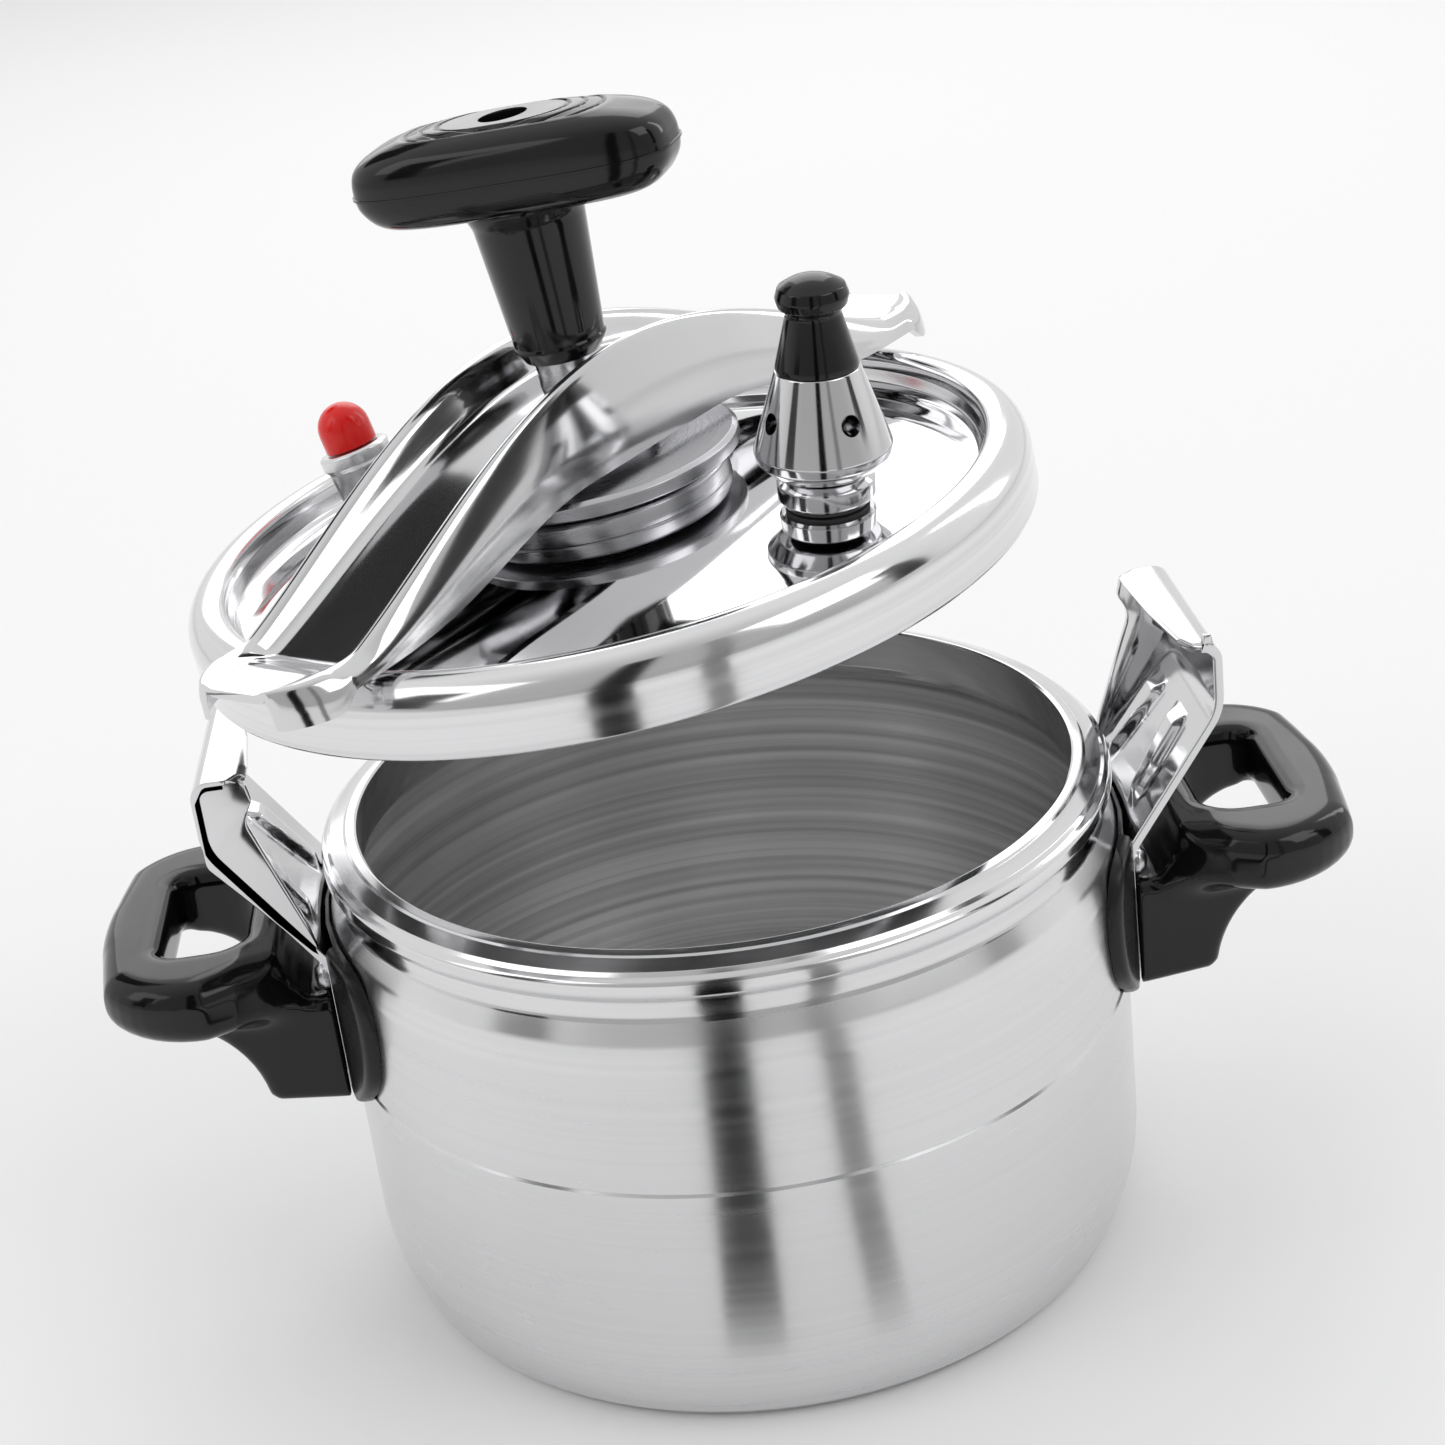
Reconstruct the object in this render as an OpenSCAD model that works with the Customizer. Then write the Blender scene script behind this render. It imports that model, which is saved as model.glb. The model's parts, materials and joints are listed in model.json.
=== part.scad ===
// Bridge-clamp pressure canner, 20 cm class, with its lid lifted off the pot.
// Origin: centre of the pot's flat base. +Z up, +X along the line of the side handles. Millimetres.
// The lid group is drawn in the lid's own frame, then placed by on_lid().

/* [Pot] */
// Outside radius of the pot's wall above the seam
body_r = 98; // [82:0.5:118]
// Height of the mouth's inner edge above the base
mouth_z = 124.7; // [104:0.1:150]
// Thickness of the pot's wall
wall = 2.6; // [2.1:0.1:3.2]
// Thickness of the pot's floor
floor_t = 4; // [3:0.1:5]
// Height of the seam where the lower wall stands proud
seam_z = 67; // [55:0.5:80]
// How far the lower wall stands proud of the upper wall
seam_step = 0.5; // [0.2:0.05:0.8]
// Height of the neck between the shoulder and the rolled lip
neck_h = 6; // [5:0.1:7]
// How far the mouth's inner edge lies inside the outer wall
mouth_inset = 10.2; // [9:0.1:12]

/* [Ears] */
// Thickness of the pressed steel ears
ear_t = 2.2; // [1.8:0.1:2.6]
// Width of each ear
ear_w = 52; // [46:0.5:56]
// How far the upright part of an ear stands outside the pot's wall
ear_reach = 23.5; // [22:0.25:27]
// Height of the hook's top above the mouth
hook_rise = 26.3; // [25:0.1:29]
// Reach of the hook from the ear's outside face, at its mid width
hook_depth = 12; // [11:0.25:13]
// Radius of a rivet's shank
rivet_r = 2; // [1.6:0.1:2.2]
// Steepness of an ear's slope, in degrees from level
ear_slope = 56; // [52:1:60]

/* [Handles] */
// Width of the loop across the handle
loop_w = 82; // [72:1:92]
// Reach of the loop from the pot's wall
loop_reach = 58.5; // [54:0.5:70]
// Width of the finger gap
gap_w = 41; // [36:0.5:46]
// Depth of the finger gap, away from the pot
gap_d = 20; // [17:0.5:24]
// Thickness of the loop
loop_t = 15; // [12.5:0.5:18]
// Width of the handle's block
block_w = 56; // [55:0.5:62]
// Thickness of the backing pad
pad_t = 3.3; // [2.8:0.1:4]

/* [Lid] */
// Thickness of the lid's sheet
sheet_t = 1.5; // [1.2:0.1:1.8]
// How far the lid's rim stands outside the pot's wall
rim_out = 2.5; // [2:0.1:3.5]
// Radius of the rim's roll
roll_r = 7.6; // [7:0.1:8.2]
// Depth of the rim's skirt below the roll's centre
skirt_d = 10; // [8.5:0.1:11]
// Rise of the domed panel
dome_rise = 9.5; // [8:0.1:11.5]
// Height of the roll's centre above the mouth when the lid is shut
seat_rise = 3.3; // [3.1:0.1:4]
// Tilt of the lifted lid
lid_tilt = 6.1; // [5:0.1:7]
// Sideways travel of the lifted lid
lift_x = -16.9; // [-20:0.1:-14]
// Rise of the lifted lid
lift_z = 63.9; // [54:0.1:77]

/* [Centre discs] */
// Radius of the lower disc
lower_disc_r = 31.5; // [27:0.5:33]
// Thickness of the lower disc
lower_disc_t = 5; // [4.2:0.1:6]
// Radius of the upper disc
upper_disc_r = 35.2; // [31:0.1:38]
// Thickness of the upper disc
upper_disc_t = 4; // [3.4:0.1:4.6]
// Gap between the two discs
disc_gap = 2; // [1.7:0.1:2.4]
// Radius of the hub that the upper disc turns on
hub_r = 10; // [9:0.1:11]

/* [Clamp] */
// Azimuth of the beam on the lid, from +X
beam_az = 47; // [40:1:52]
// Gap between the beam's ends and the upright part of the ears
end_gap = 3.3; // [2.3:0.1:4.5]
// Half width of the beam
beam_hw = 21; // [19:0.5:22]
// Thickness of the beam's sheet
beam_t = 2.2; // [1.8:0.1:3]
// Height of the beam's ridges at the middle, above the rim's roll centre
beam_top = 45; // [44:0.5:48]
// Gap between the fully raised beam's tips and the hooks
hook_gap = 1.3; // [0.8:0.1:2.5]
// Radius of the screw
screw_r = 7; // [6:0.1:8]

/* [Knob] */
// Height of the knob's top above the rim's roll centre
knob_top = 97.5; // [94:0.5:110]
// Half length of the knob
knob_hl = 38; // [34:0.5:46]
// Half width of the knob
knob_hw = 16; // [14:0.5:20]
// Thickness of the knob's bar
knob_t = 20; // [16:0.5:22]
// Azimuth of the knob's bar, from +X
knob_az = -20; // [-60:1:0]

/* [Valves] */
// Distance of the regulator from the lid's axis
reg_d = 59.4; // [56:0.1:64]
// Azimuth of the regulator
reg_az = -32.6; // [-36:0.1:-30]
// Largest radius of the regulator's weight
reg_r = 15.5; // [13:0.1:17]
// Height of the regulator's weight
reg_h = 23.5; // [20:0.1:28]
// Radius of the vent pipe
vent_r = 3; // [2.5:0.1:3.5]
// Distance of the float valve from the lid's axis
float_d = 74; // [72:0.1:75]
// Azimuth of the float valve
float_az = 140; // [136:1:144]
// Radius of the float valve's barrel
barrel_r = 8.4; // [7.6:0.1:9]
// Height of the float valve's barrel above the panel
barrel_h = 16; // [14:0.1:19]
// Radius of the red float
float_r = 6.6; // [5.6:0.1:7]

/* [Hidden] */
$fn = 96;

// Running clearance of a shaft in its bore, and air between parts that must not touch.
run_fit = 0.05;
air = 0.4;
eps = 0.01;

// Pot levels and radii
mouth_r = body_r - mouth_inset;
lip_r = body_r - 1.3;
neck_r = lip_r - 2.4;
lip_under_z = mouth_z - 8.8;
neck_low_z = lip_under_z - neck_h;
shoulder_r = 8;
inner_r = body_r - wall;
base_r = body_r - 7;

// Ear and handle places, measured from the wall and the mouth
pad_gap = 0.05;
pad_r = body_r + pad_gap + pad_t;
foot_r = pad_r + 0.05 - ear_t;
block_r = max(pad_r, foot_r + ear_t) + 0.1;
ear_half = ear_w / 2;
foot_x = sqrt(pow(foot_r + ear_t, 2) - ear_half * ear_half);
foot_low_z = mouth_z - 59;
slope_low_z = mouth_z - 26.5;
bend_r = 14;
ear_x = body_r + ear_reach;
hook_z = mouth_z + hook_rise;
rivet_z = mouth_z - 30;
rivet_a = asin((ear_half - 3.6) / (foot_r + ear_t));
screw_z = mouth_z - 49;
loop_mid_z = mouth_z - 27.5;
block_low_z = mouth_z - 63.5;
gap_in_x = body_r + 20;
gap_out_x = gap_in_x + gap_d;
screw_seat_x = block_r + 8;

// Lid radii and heights in the lid's own frame (z = 0 at the centre of the rim's roll)
rim_r = body_r + rim_out;
roll_x = rim_r - roll_r;
panel_r = rim_r - 13.2;
panel_edge_z = -1.2;
dome_r = (panel_r * panel_r + dome_rise * dome_rise) / (2 * dome_rise);
flat_r = upper_disc_r - 2;
flat_z = dome_z(flat_r);
lower_top_z = flat_z + lower_disc_t;
upper_low_z = lower_top_z + disc_gap;
upper_top_z = upper_low_z + upper_disc_t;
seat_z = mouth_z + seat_rise;

// Clamp heights in the lid's own frame
knob_travel = 5.3;
beam_l = ear_x - ear_t - end_gap;
beam_tip = hook_rise - ear_t - seat_rise - knob_travel - hook_gap;
beam_arch_l = beam_l - 12;
valley_d = 9;
collar_t = 2.4;
cap_t = 4.2;
cap_top_z = upper_top_z + cap_t;
boss_low_z = cap_top_z + 1.6;
boss_top_z = beam_top - valley_d - beam_t - 0.8;
boss_r = screw_r + 5;
stem_low_z = beam_top - valley_d + knob_travel + 0.7;
knob_low_z = knob_top - knob_t;
stem_r = 11.2;

// Height of the domed panel's outer surface at radius r
function dome_z(r) = panel_edge_z + dome_rise - (dome_r - sqrt(dome_r * dome_r - r * r));
// Slope of the panel at radius r, in degrees
function dome_tilt(r) = asin(r / dome_r);
// Points on an arc
function arc(cx, cy, r, a0, a1, n) =
    [for (i = [0:n]) let (a = a0 + (a1 - a0) * i / n) [cx + r * cos(a), cy + r * sin(a)]];
function unit(v) = v / norm(v);
function path_dir(p, i) = unit(p[min(i + 1, len(p) - 1)] - p[max(i - 1, 0)]);
// The path moved sideways by t, to the left of its direction
function shifted(p, t) =
    [for (i = [0:len(p) - 1]) let (d = path_dir(p, i)) p[i] + t * [-d[1], d[0]]];
function backwards(p) = [for (i = [len(p) - 1:-1:0]) p[i]];
// A closed outline of even thickness t along a path
function ribbon(p, t) = concat(p, backwards(shifted(p, t)));

// Puts lid-frame children where the lifted lid is
module on_lid() {
    translate([lift_x, 0, seat_z + lift_z]) rotate([0, -lid_tilt, 0]) children();
}

// Puts children on the lid's panel at distance d and azimuth az, standing square to the dome
module on_dome(d, az) {
    on_lid() rotate([0, 0, az]) translate([d, 0, dome_z(d)]) rotate([0, dome_tilt(d), 0]) children();
}

// A copy on each side of the pot
module both_sides() {
    for (a = [0, 180]) rotate([0, 0, a]) children();
}

// ---------------------------------------------------------------- pot
module pot_body() {
    outside = concat(
        [[0, 0], [base_r, 0], [base_r + 2.4, 3.6]],
        arc(base_r + 2.4 - 9, 12.6, 13.8 + seam_step, -38, 0, 8),
        [[body_r + seam_step, seam_z], [body_r, seam_z + 0.8]],
        arc(body_r - shoulder_r, neck_low_z - shoulder_r + 1.2, shoulder_r, 0, 62, 8),
        [[neck_r, neck_low_z + 0.8], [neck_r, lip_under_z]],
        arc(lip_r - 3.2, lip_under_z + 4.4, 3.2, -35, 70, 8),
        [[mouth_r + 1.2, mouth_z - 0.4], [mouth_r + 0.5, mouth_z]]);
    inside = concat(
        [[mouth_r, mouth_z - 0.6], [mouth_r, neck_low_z + 1]],
        arc(inner_r - 7, neck_low_z - 8.5, 7, 62, 0, 7),
        arc(inner_r - 10, floor_t + 10, 10, 0, -90, 8),
        [[0, floor_t]]);
    color("silver") difference() {
        rotate_extrude($fn = 180) polygon(concat(outside, inside));
        both_sides() rivet_holes(rivet_r);
    }
}

// Cutters for the rivets' holes on one side
module rivet_holes(r) {
    for (a = [-rivet_a, rivet_a]) rotate([0, 0, a])
        translate([inner_r - 20, 0, rivet_z]) rotate([0, 90, 0]) cylinder(r = r, h = 60, $fn = 32);
}

// ---------------------------------------------------------------- ears
// Height of the slope's outer face at distance x from the pot's axis
function slope_z(x) = slope_low_z + (x - foot_x) * tan(ear_slope);

// Side view of an ear's sheet above its foot
module ear_side() {
    turn = 90 - ear_slope;
    bend_x = ear_x - bend_r;
    bend_z = slope_z(bend_x + bend_r * cos(turn)) + bend_r * sin(turn);
    outer_face = concat(
        [[foot_x - 6, slope_z(foot_x - 6)]],
        arc(bend_x, bend_z, bend_r, -turn, 0, 6),
        arc(ear_x - 3.5, hook_z - 3.5, 3.5, 0, 90, 5),
        [[ear_x - hook_depth - 6, hook_z]]);
    polygon(ribbon(outer_face, ear_t));
}

// Plan of the hook: shallow where the beam swings in, deep at the stop side
module hook_plan() {
    lip = ear_x - hook_depth;
    polygon([[lip + 5.5, 1.5 - ear_half], [lip + 8, -ear_half], [ear_x + 1, -ear_half],
             [ear_x + 1, ear_half], [lip + 1, ear_half], [lip - 1.5, ear_half - 2.5],
             [lip - 1.5, ear_half - 8], [lip, 0], [lip + 3, 6 - ear_half]]);
}

// Side flange that stops the beam
module ear_flange() {
    lip = ear_x - hook_depth;
    translate([0, ear_half, 0]) rotate([90, 0, 0]) linear_extrude(ear_t)
        polygon([[foot_x + 0.5, slope_z(foot_x + 2)], [foot_x + 3, slope_low_z + 13.8],
                 [lip + 0.8, hook_z - 11], [lip - 1.5, hook_z - 6], [lip, hook_z - 0.8],
                 [ear_x - 2.5, hook_z - 0.8], [ear_x - 0.4, hook_z - 4],
                 [ear_x - 0.4, slope_z(ear_x - 2.5)], [foot_x + 3, slope_z(foot_x + 3.3)]]);
}

// One pressed rib, up the inner face of the ear's slope
module ear_rib(side) {
    low_x = foot_x + 3.4;
    high_x = ear_x - 5;
    hull() {
        translate([low_x, side * 14, slope_z(low_x) + 1.2]) sphere(r = 2, $fn = 20);
        translate([high_x, side * 6, slope_z(high_x) + 0.6]) sphere(r = 2, $fn = 20);
        translate([high_x, side * 13, slope_z(high_x) + 0.6]) sphere(r = 1.6, $fn = 20);
    }
}

// Foot that follows the pot's wall, up to the slope
module ear_foot() {
    foot_top = foot_r + ear_t + 1;
    intersection() {
        difference() {
            translate([0, 0, foot_low_z]) cylinder(r = foot_r + ear_t, h = mouth_z - foot_low_z, $fn = 180);
            cylinder(r = foot_r, h = mouth_z + 1, $fn = 180);
        }
        translate([0, ear_half, 0]) rotate([90, 0, 0]) linear_extrude(ear_w)
            polygon([[foot_x - 12, foot_low_z], [foot_top, foot_low_z], [foot_top, slope_z(foot_top)],
                     [foot_x - 12, slope_z(foot_x - 12)]]);
    }
}

module ear() {
    difference() {
        union() {
            difference() {
                union() {
                    intersection() {
                        translate([0, ear_half, 0]) rotate([90, 0, 0]) linear_extrude(ear_w) ear_side();
                        union() {
                            translate([foot_x - 12, -ear_half, foot_low_z])
                                cube([40, ear_w, hook_z - 6 - foot_low_z]);
                            translate([0, 0, hook_z - 6 - eps]) linear_extrude(10) hook_plan();
                        }
                    }
                    ear_flange();
                    for (side = [-1, 1]) ear_rib(side);
                }
                translate([0, 0, foot_low_z]) cylinder(r = foot_r, h = 100, $fn = 180);
            }
            ear_foot();
        }
        rivet_holes(rivet_r);
        translate([foot_r - 5, 0, screw_z]) rotate([0, 90, 0]) cylinder(r = 2.5, h = 20, $fn = 32);
    }
}

module right_ear() {
    color("gainsboro") ear();
}

module left_ear() {
    color("gainsboro") rotate([0, 0, 180]) ear();
}

// Round-head rivets that hold the ears and the pads to the wall
module ear_rivets() {
    inner_x = inner_r - 0.1;
    outer_x = foot_r + ear_t;
    color("lightgray") both_sides() for (a = [-rivet_a, rivet_a]) rotate([0, 0, a])
        translate([0, 0, rivet_z]) rotate([0, 90, 0]) {
            translate([0, 0, inner_x]) cylinder(r = rivet_r, h = outer_x - inner_x, $fn = 32);
            translate([0, 0, outer_x]) cylinder(r1 = 3.5, r2 = 3, h = 3, $fn = 32);
            translate([0, 0, inner_x - 1.6]) cylinder(r1 = 3.2, r2 = 4, h = 1.6, $fn = 32);
        }
}

// ---------------------------------------------------------------- handles
// Plan of the loop: a broad D with round corners
module loop_plan() {
    out_x = body_r + loop_reach;
    hw = loop_w / 2;
    in_x = block_r + 4;
    polygon(concat(
        [[in_x, 4 - block_w / 2 - 3], [in_x + 14, 4 - hw]],
        arc(out_x - 26, -hw + 24, 24, -100, -30, 8),
        arc(out_x - 40, 0, 40, -18, 18, 8),
        arc(out_x - 26, hw - 24, 24, 30, 100, 8),
        [[in_x + 14, hw - 4], [in_x, block_w / 2 - 1]]));
}

// Plan of the finger gap
module gap_plan() {
    hw = gap_w / 2;
    polygon(concat(
        arc(gap_in_x + 8, 8 - hw, 8, 180, 270, 5),
        arc(gap_out_x - 4, 4 - hw, 4, -90, 0, 4),
        arc(gap_out_x - 4, hw - 4, 4, 0, 90, 4),
        arc(gap_in_x + 8, hw - 8, 8, 90, 180, 5)));
}

// Side view of the loop, rising a little away from the pot, round at its outer end
module loop_side() {
    out_x = body_r + loop_reach;
    r = loop_t / 2;
    polygon(concat(
        [[block_r - 6, loop_mid_z - r - 4], [gap_in_x, loop_mid_z - r - 1]],
        arc(out_x - r, loop_mid_z + 1, r, -90, 90, 10),
        [[gap_in_x, loop_mid_z + r + 1], [block_r + 8, loop_mid_z + r - 1],
         [block_r + 5.5, loop_mid_z - 3], [block_r - 6, loop_mid_z - 4]]));
}

// Side view of the block that carries the loop
module block_side() {
    polygon(concat(
        [[body_r - 12, block_low_z], [block_r + 14.2, block_low_z + 3]],
        arc(body_r + 48, block_low_z + 1, 28.5, 172, 112, 8),
        [[body_r + 40, loop_mid_z], [block_r + 7, loop_mid_z - 2], [block_r + 3, loop_mid_z - 6.5],
         [body_r - 12, loop_mid_z - 6.5]]));
}

module handle() {
    w = block_w / 2;
    difference() {
        union() {
            intersection() {
                translate([0, 0, loop_mid_z - 20]) linear_extrude(40) loop_plan();
                translate([0, loop_w, 0]) rotate([90, 0, 0]) linear_extrude(2 * loop_w) loop_side();
            }
            translate([0, w, 0]) rotate([90, 0, 0]) linear_extrude(block_w) block_side();
        }
        translate([0, 0, block_low_z]) linear_extrude(80) gap_plan();
        cylinder(r = block_r, h = 300, $fn = 180);
        for (a = [-rivet_a, rivet_a]) rotate([0, 0, a]) translate([block_r - 2, 0, rivet_z]) {
            rotate([0, 90, 0]) cylinder(r = 4.2, h = 5.6, $fn = 32);
            translate([0, -4.2, 0]) cube([5.6, 8.4, 20]);
        }
        translate([foot_r, 0, screw_z]) rotate([0, 90, 0]) cylinder(r = 2.6, h = 60, $fn = 32);
        translate([screw_seat_x, 0, screw_z]) rotate([0, 90, 0]) cylinder(r = 5.2, h = 60, $fn = 32);
    }
}

module right_handle() {
    color("#161616") handle();
}

module left_handle() {
    color("#161616") rotate([0, 0, 180]) handle();
}

// Shield-shaped backing pad that follows the wall, with a pocket for the ear's foot
module pad() {
    top = neck_low_z - 5.5;
    half = block_w / 2 + 19;
    side = [[block_w / 2 + 1, block_low_z], [half - 3, block_low_z + 14], [half, loop_mid_z - 8],
            [half - 1, loop_mid_z], [half - 6, top - 2], [half - 12, top]];
    difference() {
        intersection() {
            difference() {
                cylinder(r = pad_r, h = mouth_z, $fn = 180);
                translate([0, 0, -1]) cylinder(r = body_r + pad_gap, h = mouth_z + 2, $fn = 180);
                cylinder(r = body_r + seam_step + pad_gap, h = seam_z + 1.2, $fn = 180);
            }
            translate([body_r / 2, 0, 0]) rotate([90, 0, 90]) linear_extrude(body_r)
                polygon(concat(side, [for (p = backwards(side)) [-p[0], p[1]]]));
        }
        intersection() {
            translate([foot_r - 12, -ear_half - 0.3, foot_low_z - 0.3]) cube([24, ear_w + 0.6, 60]);
            difference() {
                cylinder(r = pad_r + 5, h = mouth_z, $fn = 180);
                cylinder(r = foot_r - 0.05, h = mouth_z, $fn = 180);
            }
        }
        rivet_holes(rivet_r);
        translate([body_r - 5, 0, screw_z]) rotate([0, 90, 0]) cylinder(r = 2.6, h = 20, $fn = 32);
    }
}

module right_pad() {
    color("#1c1c1c") pad();
}

module left_pad() {
    color("#1c1c1c") rotate([0, 0, 180]) pad();
}

// Pan-head screws that hold each handle to its ear's foot
module handle_screws() {
    color("lightgray") both_sides() translate([0, 0, screw_z]) rotate([0, 90, 0]) {
        translate([0, 0, foot_r]) cylinder(r = 2.5, h = screw_seat_x - foot_r, $fn = 32);
        translate([0, 0, screw_seat_x]) difference() {
            cylinder(r = 4.6, h = 3, $fn = 32);
            translate([-0.6, -5, 1.8]) cube([1.2, 10, 2]);
            translate([-5, -0.6, 1.8]) cube([10, 1.2, 2]);
        }
    }
}

// ---------------------------------------------------------------- lid
// Outer surface of the lid, from the hole at the middle to the skirt's curled edge
function lid_path(inner) = concat(
    [[inner, flat_z], [flat_r, flat_z]],
    [for (i = [1:12]) let (r = flat_r + (panel_r - 2 - flat_r) * i / 12) [r, dome_z(r)]],
    [[panel_r + 0.4, panel_edge_z + 0.2], [panel_r + 2, panel_edge_z + 1.4],
     [panel_r + 2.9, panel_edge_z + 3.6]],
    arc(panel_r + 5.6, roll_r - 2.6, 2.6, 180, 90, 5),
    arc(roll_x, 0, roll_r, 82, 0, 10),
    [[rim_r, 1.6 - skirt_d]],
    arc(rim_r - 1.6, 1.6 - skirt_d, 1.6, -20, -80, 3));

module lid_shell() {
    color("silver") difference() {
        on_lid() rotate_extrude($fn = 180) polygon(ribbon(backwards(lid_path(hub_r + 4)), sheet_t));
        on_dome(reg_d, reg_az) translate([0, 0, -10]) cylinder(r = vent_r + 2, h = 20, $fn = 48);
        on_dome(float_d, float_az) translate([0, 0, -10]) cylinder(r = 5, h = 20, $fn = 48);
        on_lid() for (a = [30:60:330]) rotate([0, 0, a]) translate([lower_disc_r - 7, 0, 0])
            cylinder(r = 2, h = 20, $fn = 32);
    }
}

// Lip seal in the rim's channel
module sealing_gasket() {
    low = mouth_z + air - seat_z;
    in_r = panel_r + 4.6;
    out_r = rim_r - sheet_t - 0.4;
    color("#3a3a3a") on_lid() rotate_extrude($fn = 180)
        polygon([[in_r + 0.6, low], [in_r + 2.2, low + 1.6], [out_r - 2.4, low + 1.2], [out_r - 0.8, low],
                 [out_r, low + 0.4], [out_r, 0.6], [out_r - 1.5, 2.6], [out_r - 3.4, roll_r - 3.4],
                 [in_r + 2.6, roll_r - 2.6], [in_r + 0.8, roll_r - 3.4], [in_r, low + 1]]);
}

// Thick washer on the panel that the upper disc turns on
module lower_disc() {
    color("darkgray") on_lid() translate([0, 0, flat_z]) difference() {
        rotate_extrude() polygon([[hub_r + run_fit, 0], [lower_disc_r, 0],
                                  [lower_disc_r, lower_disc_t - 1.2], [lower_disc_r - 1.2, lower_disc_t],
                                  [hub_r + run_fit, lower_disc_t]]);
        translate([0, 0, -1]) cylinder(r = hub_r + 3.4, h = 3);
        for (a = [30:60:330]) rotate([0, 0, a]) translate([lower_disc_r - 7, 0, -1])
            cylinder(r = 2, h = lower_disc_t + 2, $fn = 32);
    }
}

// Flush rivets through the lower disc and the panel
module disc_rivets() {
    color("lightgray") on_lid() for (a = [30:60:330]) rotate([0, 0, a])
        translate([lower_disc_r - 7, 0, flat_z - sheet_t]) {
            cylinder(r = 2, h = sheet_t + lower_disc_t, $fn = 32);
            translate([0, 0, -1.2]) cylinder(r1 = 2.6, r2 = 3.4, h = 1.2, $fn = 32);
        }
}

// ---------------------------------------------------------------- vent and regulator
vent_top = 13;
collar_r = 11;
collar_h = 6;
washer_t = 1.2;
weight_low = 8.6;
weight_top = weight_low + reg_h;
weight_neck_r = 9.4;

module vent_pipe() {
    seat = washer_t + collar_h - 1;
    color("silver") on_dome(reg_d, reg_az) difference() {
        union() {
            translate([0, 0, -9]) cylinder(r = vent_r + 2, h = 9 + seat, $fn = 48);
            translate([0, 0, seat]) cylinder(r = vent_r, h = vent_top - seat, $fn = 48);
        }
        translate([0, 0, -10]) cylinder(r = 1.2, h = 30, $fn = 32);
    }
}

// Round nut that stands on the panel
module vent_collar() {
    color("silver") on_dome(reg_d, reg_az) translate([0, 0, washer_t]) rotate_extrude()
        polygon([[vent_r + 2, 0], [collar_r, 0], [collar_r, collar_h - 1.4], [collar_r - 1.4, collar_h],
                 [vent_r + 0.6, collar_h], [vent_r + 0.6, collar_h - 1], [vent_r + 2, collar_h - 1]]);
}

module vent_washer() {
    color("#222222") on_dome(reg_d, reg_az) rotate_extrude()
        polygon([[vent_r + 2, 0.25], [collar_r - 1.5, 0.25],
                 [collar_r - 1.5, washer_t], [vent_r + 2, washer_t]]);
}

// Hex nut under the panel
module vent_nut() {
    color("darkgray") on_dome(reg_d, reg_az) translate([0, 0, -sheet_t - 4.4]) difference() {
        cylinder(r = 8.6, h = 4, $fn = 6);
        translate([0, 0, -1]) cylinder(r = vent_r + 2, h = 6, $fn = 48);
    }
}

// Slotted strainer cap on the pipe's lower end
module vent_filter() {
    color("lightgray") on_dome(reg_d, reg_az) translate([0, 0, -12]) difference() {
        cylinder(r = 6.6, h = 6, $fn = 48);
        translate([0, 0, 3]) cylinder(r = vent_r + 2, h = 4, $fn = 48);
        translate([0, 0, 1.2]) cylinder(r = vent_r + 1.6, h = 4, $fn = 48);
        for (a = [0:60:300]) rotate([0, 0, a]) translate([3, 0, -1]) cylinder(r = 0.8, h = 4, $fn = 16);
    }
}

// Metal cone of the regulator, open underneath, with steam holes
module regulator_weight() {
    color("silver") on_dome(reg_d, reg_az) difference() {
        rotate_extrude() polygon([[vent_r + 1.4, weight_low], [reg_r - 3.3, weight_low],
                                  [reg_r, weight_low + 4.4], [weight_neck_r, weight_top],
                                  [3.2, weight_top], [3.2, weight_top - 6], [6, weight_top - 9],
                                  [vent_r + 2.6, weight_low + 4], [vent_r + 1.4, weight_low + 2]]);
        for (a = [0:90:270]) rotate([0, 0, a - 66 + 90 - reg_az]) translate([4, 0, weight_low + 13.4])
            rotate([0, 90, 0]) cylinder(r = 2.3, h = 20, $fn = 32);
    }
}

// Black moulded grip of the regulator
module regulator_cap() {
    grip_z = weight_top + 13.5;
    color("#141414") on_dome(reg_d, reg_az) difference() {
        rotate_extrude() polygon(concat(
            [[0, weight_top], [weight_neck_r, weight_top], [5.8, grip_z], [7.4, grip_z + 0.8]],
            arc(6.4, grip_z + 2.8, 1.8, -40, 50, 4),
            arc(0, grip_z - 4.6, 12, 52, 90, 7)));
        translate([0, 0, weight_top - 1]) cylinder(r = 2, h = 9, $fn = 32);
    }
}

// Needle that seats on the vent pipe
module regulator_needle() {
    color("lightgray") on_dome(reg_d, reg_az) {
        translate([0, 0, weight_top - 6]) cylinder(r = 3.2, h = 6, $fn = 32);
        translate([0, 0, weight_top]) cylinder(r = 2, h = 7, $fn = 32);
        translate([0, 0, vent_top + 0.2])
            cylinder(r1 = 0.6, r2 = 2.6, h = weight_top - 6.2 - vent_top, $fn = 32);
    }
}

// ---------------------------------------------------------------- float valve
bore_r = float_r - 1.6;
seat_h = 3;

module float_barrel() {
    color("gainsboro") on_dome(float_d, float_az) rotate_extrude()
        polygon([[2.4, -8], [5, -8], [5, 0.8], [barrel_r - 1, 0.8], [barrel_r, barrel_h - 4],
                 [barrel_r + 0.6, barrel_h - 3], [barrel_r + 0.6, barrel_h - 0.6],
                 [barrel_r, barrel_h], [bore_r + run_fit, barrel_h], [bore_r + run_fit, seat_h],
                 [2.4, seat_h]]);
}

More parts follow.
